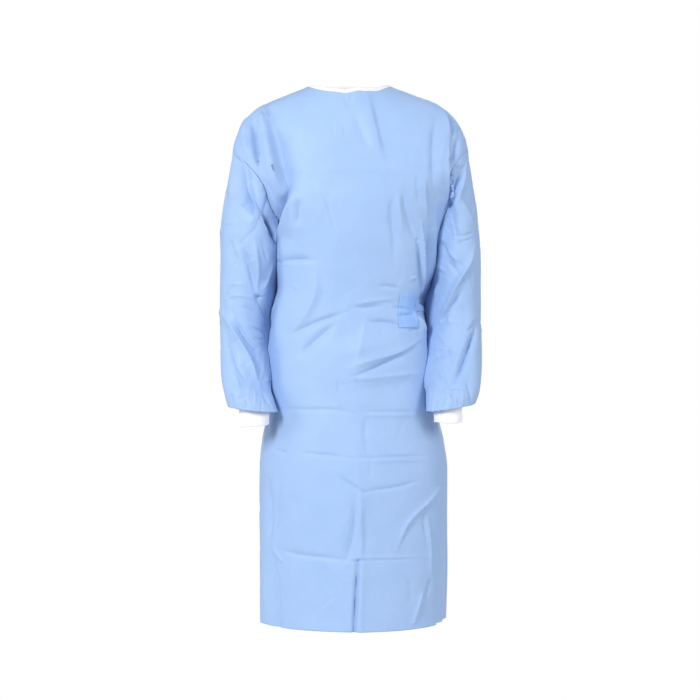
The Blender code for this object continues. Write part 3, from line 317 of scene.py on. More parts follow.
# the back, drawn from the middle in millimetres of the same view, and the backs of the
# sleeves by degrees round them and millimetres down
backFolds = (
    (22, 19, -12, 0.2, 0.1, 0.3, (-150, -110), (-140, -220), (-118, -330)),
    (19, 22, -12, 0.2, 0.1, 0.3, (150, -110), (142, -220), (122, -330)),
    (24, 24, -9, 0.0, 0.4, 0.2, (-40, -150), (-52, -290), (-40, -430)),
    (19, 19, -11, 0.0, 0.9, 0.4, (62, -210), (92, -330), (104, -450)),
    (16, 16, 9, 0.0, 0.7, 0.4, (24, -260), (62, -360), (96, -448)),
    (19, 24, -12, 0.9, 0.0, 0.4, (92, -480), (66, -640), (52, -860)),
    (16, 22, 9, 0.6, 0.1, 0.4, (112, -480), (112, -640), (96, -900)),
    (16, 19, -9, 0.6, 0.0, 0.4, (60, -475), (0, -560), (-90, -610)),
    (27, 32, -14, 0.0, 1.0, 0.2, (-60, -620), (-70, -850), (-84, -1118)),
    (24, 24, 11, 0.0, 1.0, 0.2, (-118, -700), (-122, -900), (-130, -1118)),
    (24, 27, -12, 0.0, 1.0, 0.2, (30, -760), (26, -940), (20, -1118)),
    (22, 22, -11, 0.0, 1.0, 0.2, (112, -860), (126, -990), (132, -1118)),
    # packing creases
    (5, 6, -2.0, 0.3, 0.3, 0.9, (-170, -255), (-60, -262), (60, -258), (165, -262)),
    (6, 5, 2.2, 0.3, 0.2, 0.9, (-168, -520), (-70, -517), (40, -524), (150, -518)),
    (5, 5, -2.2, 0.2, 0.3, 0.9, (-180, -690), (-60, -686), (70, -692), (180, -684)),
    (6, 5, -2.0, 0.3, 0.2, 0.9, (-186, -890), (-50, -896), (60, -888), (190, -894)),
    (6, 5, -2.4, 0.2, 0.3, 0.8, (-76, -560), (-78, -760), (-72, -900), (-74, -1100)),
    (5, 8, 2.0, 0.2, 0.2, 0.8, (18, -300), (16, -420), (20, -560)),
    # small pulls towards the tie and down from the neck
    (6, 7, -4.0, 0.0, 0.7, 0.6, (10, -400), (60, -438), (104, -458)),
    (6, 6, 3.6, 0.0, 0.6, 0.6, (-10, -440), (50, -456), (100, -466)),
    (7, 6, -4.0, 0.7, 0.0, 0.6, (106, -474), (60, -506), (-20, -528)),
    (6, 7, 3.4, 0.7, 0.0, 0.6, (104, -482), (76, -540), (30, -590)),
    (8, 9, -3.0, 0.3, 0.0, 0.4, (20, -30), (34, -90), (58, -170)),
    (8, 8, -2.6, 0.3, 0.0, 0.4, (-52, -40), (-84, -100), (-112, -150)),
    (5, 5, 3.0, 0.2, 0.0, 0.7, (-64, -600), (-30, -650), (20, -676)),
    (5, 6, -2.4, 0.0, 0.1, 0.7, (-128, -420), (-100, -490), (-96, -560)),
)
rightSleeveBack = (
    (22, 22, -12, 0.1, 0.0, 0.3, (250, -210), (262, -330), (240, -450)),
    (16, 19, -12, 0.3, 0.1, 0.4, (215, -430), (262, -470), (315, -480)),
    (16, 18, -11, 0.3, 0.1, 0.4, (210, -490), (262, -522), (310, -520)),
    (16, 16, 11, 0.0, 0.4, 0.3, (300, -540), (282, -600), (262, -655)),
    (9, 7, 6, 0.1, 0.1, 0.7, (318, -150), (290, -230), (268, -310)),
    (7, 7, -5, 0.1, 0.1, 0.7, (240, -170), (226, -260), (214, -330)),
    (6, 7, 5, 0.1, 0.1, 0.8, (225, -455), (262, -496), (318, -502)),
    (6, 6, -4, 0.1, 0.1, 0.8, (330, -500), (300, -560), (292, -620)),
    (5, 6, 4, 0.1, 0.1, 0.8, (212, -540), (240, -590), (252, -640)),
    (15, 12, -4.5, 0.4, 0.0, 0.4, (358, -140), (350, -230), (330, -330)),
    (10, 13, 3.5, 0.2, 0.1, 0.5, (376, -190), (366, -290), (352, -370)),
    (12, 9, -4.5, 0.1, 0.2, 0.5, (332, -452), (356, -474), (384, -486)),
    (12, 10, -4, 0.1, 0.2, 0.5, (328, -506), (356, -520), (386, -516)),
    (9, 9, 2.6, 0.1, 0.2, 0.5, (330, -478), (360, -498), (388, -503)),
    (8, 10, -4, 0.0, 0.8, 0.5, (350, -560), (360, -610), (364, -655)),
    (9, 8, 3, 0.0, 0.8, 0.5, (384, -560), (380, -610), (376, -655)),
)
leftSleeveBack = (
    (22, 22, -12, 0.1, 0.0, 0.3, (250, -210), (262, -330), (240, -450)),
    (16, 19, -12, 0.3, 0.1, 0.4, (215, -440), (262, -478), (315, -486)),
    (16, 18, -11, 0.3, 0.1, 0.4, (205, -500), (256, -534), (306, -528)),
    (16, 16, 11, 0.0, 0.4, 0.3, (300, -550), (282, -605), (262, -655)),
    (8, 8, 6, 0.1, 0.1, 0.7, (306, -170), (282, -250), (276, -330)),
    (7, 6, -5, 0.1, 0.1, 0.7, (232, -190), (214, -280), (210, -350)),
    (7, 6, 5, 0.1, 0.1, 0.8, (218, -470), (258, -508), (312, -512)),
    (6, 6, -4, 0.1, 0.1, 0.8, (326, -520), (304, -580), (286, -630)),
    (14, 12, -4.5, 0.4, 0.0, 0.4, (362, -150), (354, -250), (340, -350)),
    (10, 12, 3.5, 0.2, 0.1, 0.5, (340, -180), (332, -280), (318, -380)),
    (12, 9, -4.5, 0.1, 0.2, 0.5, (334, -470), (358, -488), (386, -490)),
    (12, 10, -4, 0.1, 0.2, 0.5, (326, -520), (354, -538), (386, -540)),
    (9, 9, 2.6, 0.1, 0.2, 0.5, (330, -495), (360, -514), (388, -514)),
    (8, 10, -4, 0.0, 0.8, 0.5, (346, -570), (356, -615), (358, -655)),
    (9, 8, 3, 0.0, 0.8, 0.5, (378, -560), (374, -610), (372, -655)),
)
# the two sides of the skirt, three millimetres to a degree round
sideFolds = (
    (16, 22, -7, 0.1, 1.0, 0.3, (-246, -560), (-252, -760), (-244, -940), (-240, -1118)),
    (14, 12, 6, 0.0, 1.0, 0.3, (-300, -640), (-304, -820), (-312, -1118)),
    (10, 12, -5, 0.3, 0.0, 0.4, (-218, -470), (-262, -520), (-318, -546)),
    (9, 12, 5, 0.2, 0.0, 0.5, (-212, -520), (-258, -590), (-300, -660)),
    (20, 15, -7, 0.0, 1.0, 0.3, (252, -620), (246, -820), (254, -1118)),
    (12, 14, 6, 0.0, 1.0, 0.3, (306, -600), (312, -860), (304, -1118)),
    (9, 12, -6, 0.0, 0.6, 0.5, (214, -560), (262, -510), (316, -474)),
    (11, 8, 5, 0.0, 0.5, 0.5, (222, -640), (272, -570), (322, -500)),
    (8, 8, -4, 0.5, 0.0, 0.5, (300, -440), (262, -404), (232, -350)),
)
# flutes that open towards the hem: degrees round, height of the start, reach, height
flutes = ((-78, -0.900, 9, 6), (96, -0.860, 10, 6), (-112, -0.840, 13, -8),
          (128, -0.800, 12, 8), (158, -0.820, 14, -8), (-150, -0.780, 14, 9))


def smooth(share):
    share = np.clip(share, 0.0, 1.0)
    return share * share * (3 - 2 * share)


def through(form, column, level):
    levels, values = form[:, 0], form[:, column]
    steps = np.diff(levels)
    slopes = np.diff(values) / steps
    product = slopes[:-1] * slopes[1:]
    mean = np.where(product > 0, 2 * product / np.where(product > 0, slopes[:-1] + slopes[1:], 1), 0)
    tangents = np.concatenate([[slopes[0]], mean, [slopes[-1]]])
    i = np.clip(np.searchsorted(levels, level, side="right") - 1, 0, len(steps) - 1)
    t = (level - levels[i]) / steps[i]
    return ((2 * t**3 - 3 * t**2 + 1) * values[i] + (t**3 - 2 * t**2 + t) * steps[i] * tangents[i]
            + (3 * t**2 - 2 * t**3) * values[i + 1] + (t**3 - t**2) * steps[i] * tangents[i + 1])


def roundedLine(points):
    line = np.array(points, float)
    for _ in range(2 if len(line) > 2 else 0):
        cut = np.empty((2 * len(line) - 2, 2))
        cut[0::2] = 0.75 * line[:-1] + 0.25 * line[1:]
        cut[1::2] = 0.25 * line[:-1] + 0.75 * line[1:]
        line = np.vstack([line[:1], cut[1:-1], line[-1:]])
    return line


def creaseHeight(creases, across, up):
    total = np.zeros(across.shape)
    for row in creases:
        reachA, reachB, height, start, end, crisp = row[:6]
        line = roundedLine(row[6:])
        margin = 3.4 * max(reachA, reachB)
        near = ((across > line[:, 0].min() - margin) & (across < line[:, 0].max() + margin)
                & (up > line[:, 1].min() - margin) & (up < line[:, 1].max() + margin))
        if not near.any():
            continue
        px, pz = across[near], up[near]
        runs = np.diff(line, axis=0)
        lengths = np.hypot(runs[:, 0], runs[:, 1])
        before = np.concatenate([[0], np.cumsum(lengths)]) / lengths.sum()
        nearest = np.full(px.shape, 1e9)
        side = np.zeros(px.shape)
        place = np.zeros(px.shape)
        for k, (runX, runZ) in enumerate(runs):
            t = np.clip(((px - line[k, 0]) * runX + (pz - line[k, 1]) * runZ) / lengths[k] ** 2, 0, 1)
            offX, offZ = px - line[k, 0] - t * runX, pz - line[k, 1] - t * runZ
            distance = np.hypot(offX, offZ)
            closer = distance < nearest
            nearest = np.where(closer, distance, nearest)
            side = np.where(closer, runX * offZ - runZ * offX, side)
            place = np.where(closer, before[k] + t * (before[k + 1] - before[k]), place)
        u = nearest / np.where(side > 0, reachA, reachB)
        kept = (start + (1 - start) * smooth(place / 0.35)) * (end
                                                               + (1 - end) * smooth((1 - place) / 0.35))
        total[near] += height * kept * ((1 - crisp) * np.exp(-u * u) + crisp * np.exp(-1.5 * u))
    return total


def drawn(creases, higher, widest=math.inf):
    # all but the broad ones are made finer, higher and crisper than they were drawn
    rows, step = [], drawing["step"]
    for reachA, reachB, height, start, end, crisp, *points in creases:
        if max(reachA, reachB) <= widest:
            reachA, reachB = round(reachA * drawing["narrower"], 1), round(reachB * drawing["narrower"],
                    1)
            height, crisp = round(height * higher, 1), round(min(1, crisp + drawing["crisper"]), 2)
        rows.append((reachA, reachB, height, start, end, crisp,
                     *((step * (x - drawing["middle"]), -step * z) for x, z in points)))
    return tuple(rows)


def strayCreases(seed, count, low, high, length, height, lean):
    chance = np.random.RandomState(seed)
    rows = []
    for _ in range(count):
        x, z = chance.uniform(low[0], high[0]), chance.uniform(low[1], high[1])
        turn = math.radians(lean + chance.normal(0, 38))
        half = 0.5 * chance.uniform(*length)
        bend = chance.normal(0, 0.12) * half
        dx, dz = math.cos(turn), math.sin(turn)
        sign = 1 if chance.rand() < 0.45 else -1
        rows.append((chance.uniform(2.8, 7.5), chance.uniform(2.8, 7.5), sign * chance.uniform(*height),
                     0.0, 0.0, chance.uniform(0.5, 1.0), (x - dx * half, z - dz * half),
                     (x - dz * bend, z + dx * bend), (x + dx * half, z + dz * half)))
    return tuple(rows)


# seed, count, lowest and highest place, length and height, lean in degrees
frontLines = drawn(frontCreases, 1.1, 13) + strayCreases(
    5, 46, (-170, -1090), (185, -60), (30, 110), (0.35, 0.9), 78)
backLines = backFolds + strayCreases(11, 90, (-185, -1090), (190, -60), (40, 150), (0.9, 2.6), 80)
sideLines = sideFolds + (strayCreases(61, 26, (-350, -1090), (-200, -420), (40, 150), (0.9, 2.4), 84)
                         + strayCreases(62, 26, (200, -1090), (350, -420), (40, 150), (0.9, 2.4), 96))
rightLines = drawn(rightSleeveCreases, 1.3) + strayCreases(
    21, 44, (-268, -660), (-160, -180), (25, 90), (0.7, 1.8), 66)
leftLines = drawn(leftSleeveCreases, 1.05) + strayCreases(
    33, 40, (165, -660), (272, -180), (25, 90), (0.7, 1.7), 114)


def bareBody(level, angle):
    radians = np.radians(angle)
    across, along = np.sin(radians), np.cos(radians)
    power = 2 / through(bodyForm, squareness, level)
    reach = np.where(across > 0, through(bodyForm, reachLeft, level),
                     through(bodyForm, reachRight, level))
    depth = np.where(along > 0, through(bodyForm, depthFront, level),
                     through(bodyForm, depthBack, level))
    middle = np.where(along > 0, through(bodyForm, frontZ, level), through(bodyForm, backZ, level))
    side = through(bodyForm, sideZ, level)
    return np.stack([reach * np.sign(across) * np.abs(across) ** power,
                     -depth * np.sign(along) * np.abs(along) ** power,
                     middle + (side - middle) * np.abs(across) ** 2.6], -1)


def outward(surface, level, angle, levelStep=0.002, angleStep=0.4):
    up = surface(level + levelStep, angle) - surface(level - levelStep, angle)
    around = surface(level, angle + angleStep) - surface(level, angle - angleStep)
    normal = np.cross(around, up)
    return normal / np.linalg.norm(normal, axis=-1, keepdims=True)


def seenFromFront(points):
    scale = viewDistance / (viewDistance + points[..., 1])
    return points[..., 0] * scale / mm, (viewHeight + (points[..., 2] - viewHeight) * scale) / mm


# where the creases of the front, the back and the flanks give way to each other, in degrees
# from the middle of the front, and what the underarms, the belt and the neck do to them
blending = dict(frontUntil=92.0, backFrom=88.0, over=12.0, flank=92.0, flankReach=26.0,
                stepsPerDegree=3.0, armReach=20.0, armLevels=0.03)
beltPull = dict(first=44.0, last=166.0, fade=14.0, depth=6.0, reach=0.0216)
neckSway = dict(start=0.955, over=0.03, until=70.0, fade=30.0,
                rises=((17, 9, 2.2), (-10, 12, -2.2), (58, 9, -1.8)))


def bodyCloth(level, angle):
    level, angle = np.broadcast_arrays(np.asarray(level, float), np.asarray(angle, float))
    base = bareBody(level, angle)
    turned = (angle + 180.0) % 360.0 - 180.0
    frontShare = smooth((blending["frontUntil"] - np.abs(turned)) / blending["over"])
    backShare = smooth((np.abs(turned) - blending["backFrom"]) / blending["over"])
    height = frontShare * creaseHeight(frontLines, *seenFromFront(base))
    height += backShare * creaseHeight(backLines, base[..., 0] / mm, base[..., 2] / mm)
    for middle, top, reach, out in flutes:
        off = (turned - middle + 180.0) % 360.0 - 180.0
        height += out * smooth((top - base[..., 2]) / (top - hemZ)) * np.exp(-((off / reach) ** 2))
    height *= 1 - np.exp(-(((np.abs(turned) - 90.0) / blending["armReach"]) ** 2)
                         - ((level - underarm) / blending["armLevels"]) ** 2)
    flank = np.exp(-(((np.abs(turned) - blending["flank"]) / blending["flankReach"]) ** 4))
    height += flank * creaseHeight(sideLines, turned * blending["stepsPerDegree"], base[..., 2] / mm)
    neckShare = smooth((level - neckSway["start"]) / neckSway["over"]) * smooth(
        (neckSway["until"] - np.abs(turned)) / neckSway["fade"])
    xMm = base[..., 0] / mm
    sway = sum(rise * np.exp(-((xMm - middle) / reach) ** 2)
               for middle, reach, rise in neckSway["rises"])
    base[..., 2] += neckShare * sway * mm
    pull = smooth((turned - beltPull["first"]) / beltPull["fade"]) * smooth(
        (beltPull["last"] - turned) / beltPull["fade"])
    height -= beltPull["depth"] * pull * np.exp(-(((base[..., 2] - beltZ) / beltPull["reach"]) ** 2))
    return base + outward(bareBody, level, angle) * (height * mm)[..., None]


def bodyLevel(z):
    levels = np.linspace(0, underarm, 400)
    return np.interp(z, through(bodyForm, sideZ, levels), levels)


def armholeWidth(height, side):
    return np.interp(height, armholeHeights, armholeLeft if side > 0 else armholeRight)


def armholeCut(level, side):
    height = 2 * (level - underarm) / (shoulderTip - underarm) - 1
    return armholeWidth(height, side) * np.sqrt(np.clip(1 - height**2, 0, 1))


# the outer back panel's free edge, and how far the inner one lies under it
flap = dict(waist=128.0, widening=30.0, over=0.25)
beneath = dict(drop=3.4 * mm, start=90.0, shift=34.0, over=0.10, margin=4.0, edge=205.0)


def flapEdge(level):
    return flap["waist"] + flap["widening"] * smooth((level - bodyLevel(beltZ)) / flap["over"])


def innerDrop(level, angle):
    start = beneath["start"] + beneath["shift"] * smooth((level - underarm) / beneath["over"] + 1)
    return beneath["drop"] * smooth((angle - start) / (flapEdge(level) - beneath["margin"] - start))


def evenShares(level, first, last, count):
    fine = np.linspace(first, last, 721)
    ring = bareBody(np.full(fine.shape, level), fine)
    run = np.concatenate([[0], np.cumsum(np.linalg.norm(np.diff(ring, axis=0), axis=1))])
    return (np.interp(np.linspace(0, run[-1], count), run, fine) - first) / (last - first)


# materials
def startMaterial(name):
    made = bpy.data.materials.new(name)
    made.use_nodes = True
    tree = made.node_tree
    return made, tree, tree.nodes["Principled BSDF"]


def addNode(tree, kind, inputs=None, **settings):
    node = tree.nodes.new(kind)
    for key, value in settings.items():
        setattr(node, key, value)
    for key, value in (inputs or {}).items():
        node.inputs[key].default_value = value
    return node


def noiseNode(tree, vector, scale, detail=2.0, rough=0.5, distortion=0.0):
    node = addNode(tree, "ShaderNodeTexNoise", {"Scale": scale, "Detail": detail, "Roughness": rough,
                                                "Distortion": distortion})
    tree.links.new(vector, node.inputs["Vector"])
    return node.outputs["Fac"]


def mapRange(tree, value, fromLow, fromHigh, toLow, toHigh):
    node = addNode(tree, "ShaderNodeMapRange",
                   {"From Min": fromLow, "From Max": fromHigh, "To Min": toLow,
                                                "To Max": toHigh})
    tree.links.new(value, node.inputs["Value"])
    return node.outputs["Result"]


def mathNode(tree, operation, first, second):
    node = addNode(tree, "ShaderNodeMath", operation=operation)
    for socket, value in zip(node.inputs, (first, second)):
        if isinstance(value, (int, float)):
            socket.default_value = value
        else:
            tree.links.new(value, socket)
    return node.outputs[0]


def mixColours(tree, factor, dark, light):
    node = addNode(tree, "ShaderNodeMix", data_type="RGBA")
    node.inputs[6].default_value = (*dark, 1)
    node.inputs[7].default_value = (*light, 1)
    tree.links.new(factor, node.inputs[0])
    return node.outputs[2]


def addBump(tree, height, distance, strength, before=None):
    node = addNode(tree, "ShaderNodeBump", {"Strength": strength, "Distance": distance})
    tree.links.new(height, node.inputs["Height"])
    if before is not None:
        tree.links.new(before, node.inputs["Normal"])
    return node.outputs["Normal"]


def uvMapped(tree, scale):
    source = addNode(tree, "ShaderNodeUVMap", uv_map="cloth")
    mapping = addNode(tree, "ShaderNodeMapping", {"Scale": scale})
    tree.links.new(source.outputs[0], mapping.inputs["Vector"])
    return mapping.outputs[0]


def setSurface(shader, specular, sheen, sheenRough=None, sheenTint=None):
    shader.inputs["Specular IOR Level"].default_value = specular
    shader.inputs["Sheen Weight"].default_value = sheen
    if sheenRough:
        shader.inputs["Sheen Roughness"].default_value = sheenRough
    if sheenTint:
        shader.inputs["Sheen Tint"].default_value = sheenTint


def nonwovenMaterial(name, dark, light, roughness, crumple):
    made, tree, shader = startMaterial(name)
    place = addNode(tree, "ShaderNodeTexCoord").outputs["Object"]
    flat = uvMapped(tree, (1, 1, 1))
    cloud = noiseNode(tree, place, 16, 3, 0.55)
    clump = noiseNode(tree, flat, 330, 4, 0.62, 0.4)
    fibre = noiseNode(tree, uvMapped(tree, (900, 170, 1)), 1.0, 3, 0.6, 1.2)
    tone = mathNode(tree, "ADD", mapRange(tree, cloud, 0.3, 0.7, -0.16, 0.16),
                    mapRange(tree, clump, 0.3, 0.7, -0.2, 0.2))
    tone = mathNode(tree, "ADD", tone, mapRange(tree, fibre, 0.3, 0.7, 0.32, 0.68))
    tree.links.new(mixColours(tree, tone, dark, light), shader.inputs["Base Color"])
    # thermal bond points, fibres and the paper-like crumple, finest last
    facets = addNode(tree, "ShaderNodeTexVoronoi", {"Scale": 17.0, "Randomness": 1.0}, feature="F1")
    bent = addNode(tree, "ShaderNodeVectorMath", operation="ADD")
    wander = addNode(tree, "ShaderNodeTexNoise", {"Scale": 9.0, "Detail": 2.0})
    small = addNode(tree, "ShaderNodeVectorMath", operation="SCALE")
    small.inputs["Scale"].default_value = 0.05
    tree.links.new(place, wander.inputs["Vector"])
    tree.links.new(wander.outputs["Color"], small.inputs[0])
    tree.links.new(place, bent.inputs[0])
    tree.links.new(small.outputs[0], bent.inputs[1])
    tree.links.new(bent.outputs[0], facets.inputs["Vector"])
    normal = addBump(tree, facets.outputs["Distance"], crumple * mm, 1.0)
    bonds = addNode(tree, "ShaderNodeTexVoronoi", {"Scale": 1.0, "Randomness": 0.0}, feature="F1")
    turnedUv = addNode(tree, "ShaderNodeMapping", {"Scale": (620, 620, 1), "Rotation": (0, 0, 0.785)})
    tree.links.new(flat, turnedUv.inputs["Vector"])
    tree.links.new(turnedUv.outputs[0], bonds.inputs["Vector"])
    pits = mapRange(tree, bonds.outputs["Distance"], 0.12, 0.34, 0.0, 1.0)
    normal = addBump(tree, pits, 0.035 * mm, 0.8, normal)
    normal = addBump(tree, clump, 0.10 * mm, 0.9, normal)
    normal = addBump(tree, fibre, 0.05 * mm, 0.8, normal)
    tree.links.new(normal, shader.inputs["Normal"])
    tree.links.new(mapRange(tree, clump, 0.3, 0.7, roughness - 0.06, roughness + 0.07),
                   shader.inputs["Roughness"])
    setSurface(shader, 0.34, 0.16, 0.42, (0.82, 0.90, 1.0, 1))
    return made


def knitMaterial(name, dark, light):
    made, tree, shader = startMaterial(name)
    place = addNode(tree, "ShaderNodeTexCoord").outputs["Object"]
    loops = addNode(tree, "ShaderNodeTexWave", {"Scale": 1.0, "Distortion": 0.6, "Detail": 1.0},
                    wave_type="BANDS", bands_direction="Y")
    tree.links.new(uvMapped(tree, (60, 120, 1)), loops.inputs["Vector"])
    yarn = noiseNode(tree, place, 900, 3, 0.6)
    cloud = noiseNode(tree, place, 45, 2, 0.5)
    tone = mathNode(tree, "ADD", mapRange(tree, cloud, 0.3, 0.7, 0.2, 0.8),
                    mapRange(tree, yarn, 0.3, 0.7, -0.2, 0.2))
    tree.links.new(mixColours(tree, tone, dark, light), shader.inputs["Base Color"])
    normal = addBump(tree, loops.outputs["Fac"], 0.16 * mm, 0.7)
    tree.links.new(addBump(tree, yarn, 0.12 * mm, 0.8, normal), shader.inputs["Normal"])
    tree.links.new(mapRange(tree, yarn, 0.3, 0.7, 0.78, 0.92), shader.inputs["Roughness"])
    setSurface(shader, 0.2, 0.25, 0.5)
    return made


def tapeMaterial(name, dark, light):
    made, tree, shader = startMaterial(name)
    weave = addNode(tree, "ShaderNodeTexWave", {"Scale": 1.0, "Distortion": 0.3}, wave_type="BANDS",
                    bands_direction="DIAGONAL")
    tree.links.new(uvMapped(tree, (230, 230, 1)), weave.inputs["Vector"])
    place = addNode(tree, "ShaderNodeTexCoord").outputs["Object"]
    lint = noiseNode(tree, place, 700, 3, 0.6)
    cloud = noiseNode(tree, place, 60, 2, 0.5)
    tone = mathNode(tree, "ADD", mapRange(tree, cloud, 0.3, 0.7, 0.25, 0.75),
                    mapRange(tree, lint, 0.3, 0.7, -0.2, 0.2))
    tree.links.new(mixColours(tree, tone, dark, light), shader.inputs["Base Color"])
    normal = addBump(tree, weave.outputs["Fac"], 0.08 * mm, 0.6)
    tree.links.new(addBump(tree, lint, 0.08 * mm, 0.7, normal), shader.inputs["Normal"])
    tree.links.new(mapRange(tree, lint, 0.3, 0.7, 0.66, 0.8), shader.inputs["Roughness"])
    setSurface(shader, 0.25, 0.15)
    return made


clothBlue = nonwovenMaterial("nonwovenCloth", (0.295, 0.450, 0.735), (0.355, 0.508, 0.790), 0.56, 1.6)
patchBlue = nonwovenMaterial("nonwovenPatch", (0.250, 0.440, 0.810), (0.295, 0.490, 0.860), 0.55, 0.8)
knitWhite = knitMaterial("ribKnitWhite", (0.83, 0.83, 0.88), (0.90, 0.90, 0.94))
tapeWhite = tapeMaterial("tapeWhite", (0.76, 0.77, 0.83), (0.87, 0.88, 0.93))
# a darker copy of the gown's cloth for the belt's front strap: painted shade where the strap lies in
# shadow
shadedTieBlue = nonwovenMaterial("tieClothPaintedShade", (0.262, 0.415, 0.745), (0.315, 0.468, 0.795), 0.56, 1.6)
threadBlue = tapeMaterial("threadBlue", (0.30, 0.46, 0.76), (0.40, 0.56, 0.84))
threadWhite = tapeMaterial("threadWhite", (0.70, 0.70, 0.74), (0.80, 0.80, 0.84))
print("materials made")


# mesh from grids
def newPiece(mesh, finish):
    mesh.shade_smooth()
    mesh.materials.append(finish)
    made = bpy.data.objects.new(mesh.name, mesh)
    bpy.context.scene.collection.objects.link(made)
    return made


def clothMesh(name, points, finish, closed=False, flip=False):
    rows, columns = points.shape[:2]
    if closed:
        points = np.concatenate([points, points[:, :1]], 1)
        columns += 1
    steps = np.linalg.norm(np.diff(points, axis=1), axis=2)
    u = np.concatenate([np.zeros((rows, 1)), np.cumsum(steps, 1)], 1)
    u = u - u[:, columns // 2][:, None] if not closed else u
    v = np.concatenate([np.zeros((1, columns)),
                        np.cumsum(np.linalg.norm(np.diff(points, axis=0), axis=2), 0)], 0)
    used = columns - 1 if closed else columns
    i, j = np.meshgrid(np.arange(rows - 1), np.arange(columns - 1), indexing="ij")
    corners = ((i, j), (i, j + 1), (i + 1, j + 1), (i + 1, j))
    if flip:
        corners = corners[::-1]
    faces = np.stack([a * used + b % used for a, b in corners], -1).reshape(-1, 4)
    uv = np.stack([np.stack([u[a, b], v[a, b]], -1) for a, b in corners], 2).reshape(-1, 2)
    mesh = bpy.data.meshes.new(name)
    mesh.from_pydata(points[:, :used].reshape(-1, 3).tolist(), [], faces.tolist())
    mesh.uv_layers.new(name="cloth").data.foreach_set("uv", uv.ravel())
    return newPiece(mesh, finish)


def rowNormals(points):
    up = np.gradient(points, axis=0)
    around = np.gradient(points, axis=1)
    normal = np.cross(around, up)
    return normal / np.maximum(np.linalg.norm(normal, axis=-1, keepdims=True), 1e-12)


def place(piece, nodes, slotName):
    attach(piece, "root")
    if nodes:
        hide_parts(*nodes)
    return piece


def stitchRow(name, path, normals, finish, slotName, pitch=3.2 * mm, length=2.3 * mm, thick=0.32 * mm):
    run = np.concatenate([[0], np.cumsum(np.linalg.norm(np.diff(path, axis=0), axis=1))])
    starts = np.arange(pitch, run[-1] - pitch, pitch)
    points, faces = [], []
    outline = ((-0.5, 0.25), (-0.2, 1.0), (0.2, 1.0), (0.5, 0.25))
    for s in starts:
        middle = np.array([np.interp(s, run, path[:, k]) for k in range(3)])
        ahead = np.array([np.interp(s + 0.4 * mm, run, path[:, k]) for k in range(3)]) - middle
        ahead /= np.linalg.norm(ahead)
        out = np.array([np.interp(s, run, normals[:, k]) for k in range(3)])
        out /= np.linalg.norm(out)
        across = np.cross(ahead, out)
        first = len(points)
        for along, rise in outline:
            for turn in range(5):
                t = 2 * math.pi * turn / 5
                points.append(middle + ahead * along * length
                              + across * math.cos(t) * thick * (0.5 + 0.5 * rise)
                              + out * (math.sin(t) * thick * 0.8 + rise * thick * 0.7))
        for k in range(3):
            for turn in range(5):
                a, b = first + k * 5 + turn, first + k * 5 + (turn + 1) % 5
                faces.append((a, b, b + 5, a + 5))
        faces.append(tuple(first + k for k in range(4, -1, -1)))
        faces.append(tuple(first + 15 + k for k in range(5)))
    mesh = bpy.data.meshes.new(name)
    mesh.from_pydata([tuple(p) for p in points], [], faces)
    mesh.uv_layers.new(name="cloth")
    return place(newPiece(mesh, finish), (), slotName)


def borderOf(grid):
    # all round a strip, two rows in from its edge
    return np.concatenate([grid[2, 2:-2], grid[2:-2, -3], grid[-3, -3:1:-1], grid[-3:1:-1, 2]])


# body panels
def panelLevels(settings):
    # the armholes take a fifth of the rows, closest together at their two ends
    fifth = settings["rows"] // 5
    armhole = underarm + (shoulderTip - underarm) * (1 - np.cos(np.linspace(0, math.pi, fifth))) / 2
    yoke = np.linspace(shoulderTip, bindingStart, fifth // 2 + 2)[1:]
    skirt = np.linspace(0, underarm, settings["rows"] - len(armhole) - len(yoke) + 1)[:-1]
    return np.concatenate([skirt, armhole, yoke])


def panelPoints(levels, angles, edges, drop=None):
    points = bodyCloth(levels, angles)
    normal = outward(bareBody, levels, angles)
    sunk = np.zeros(levels.shape) if drop is None else drop(levels, angles)
    for edge in edges:
        away = np.abs(angles - edge) * math.radians(1) * 0.17
        sunk = sunk + 0.4 * mm * np.exp(-away / (1.6 * mm))
    return points - normal * sunk[..., None], normal


def withFlanges(points, normal, left, right, bottom):
    if left:
        first = points[:, :1] - normal[:, :1] * left
        points, normal = np.concatenate([first, points], 1), np.concatenate([normal[:, :1], normal], 1)
    if right:
        last = points[:, -1:] - normal[:, -1:] * right
        points, normal = np.concatenate([points, last], 1), np.concatenate([normal, normal[:, -1:]], 1)
    if bottom:
        hem = points[:1] - normal[:1] * 1.1 * mm
        points = np.concatenate([hem + np.array((0, 0, bottom)), hem, points], 0)
    return points


def makePanel(name, node, settings, levels, angles, seams, drop=None):
    levels, angles = np.broadcast_arrays(levels, angles)
    points, normal = panelPoints(levels, angles, seams, drop)
    points = withFlanges(points, normal, *settings["flanges"], settings["hem"])
    made = place(clothMesh(name, points, clothBlue), [node], "nonwoven")
    print(f"{name} made")
    return made


frontPanel = dict(rows=440, columns=212, flanges=(6.0 * mm, 6.0 * mm), hem=7 * mm, flat=(0.60, 1.11))
levels = panelLevels(frontPanel)[:, None]
shares = 2 * evenShares(0.4, -90, 90, frontPanel["columns"])[None, :] - 1
leftEdge, rightEdge = 90.0 - armholeCut(levels, 1) - seamGap, 90.0 - armholeCut(levels, -1) - seamGap
front = makePanel("frontPanelCloth", "front_panel", frontPanel, levels,
                  np.where(shares > 0, leftEdge, rightEdge) * shares, (leftEdge, -rightEdge))

outerBack = dict(rows=350, columns=128, flanges=(2.4 * mm, 6.0 * mm), hem=7 * mm, flat=(0.45, 1.12))
levels = panelLevels(outerBack)[:, None]
first, last = flapEdge(levels), 180.0 + 90.0 - armholeCut(levels, -1) - seamGap
shares = evenShares(0.4, 128, 270, outerBack["columns"])[None, :]
backOuter = makePanel("backPanelOuterCloth", "back_panel_outer", outerBack, levels,
                      first + (last - first) * shares, (last,))

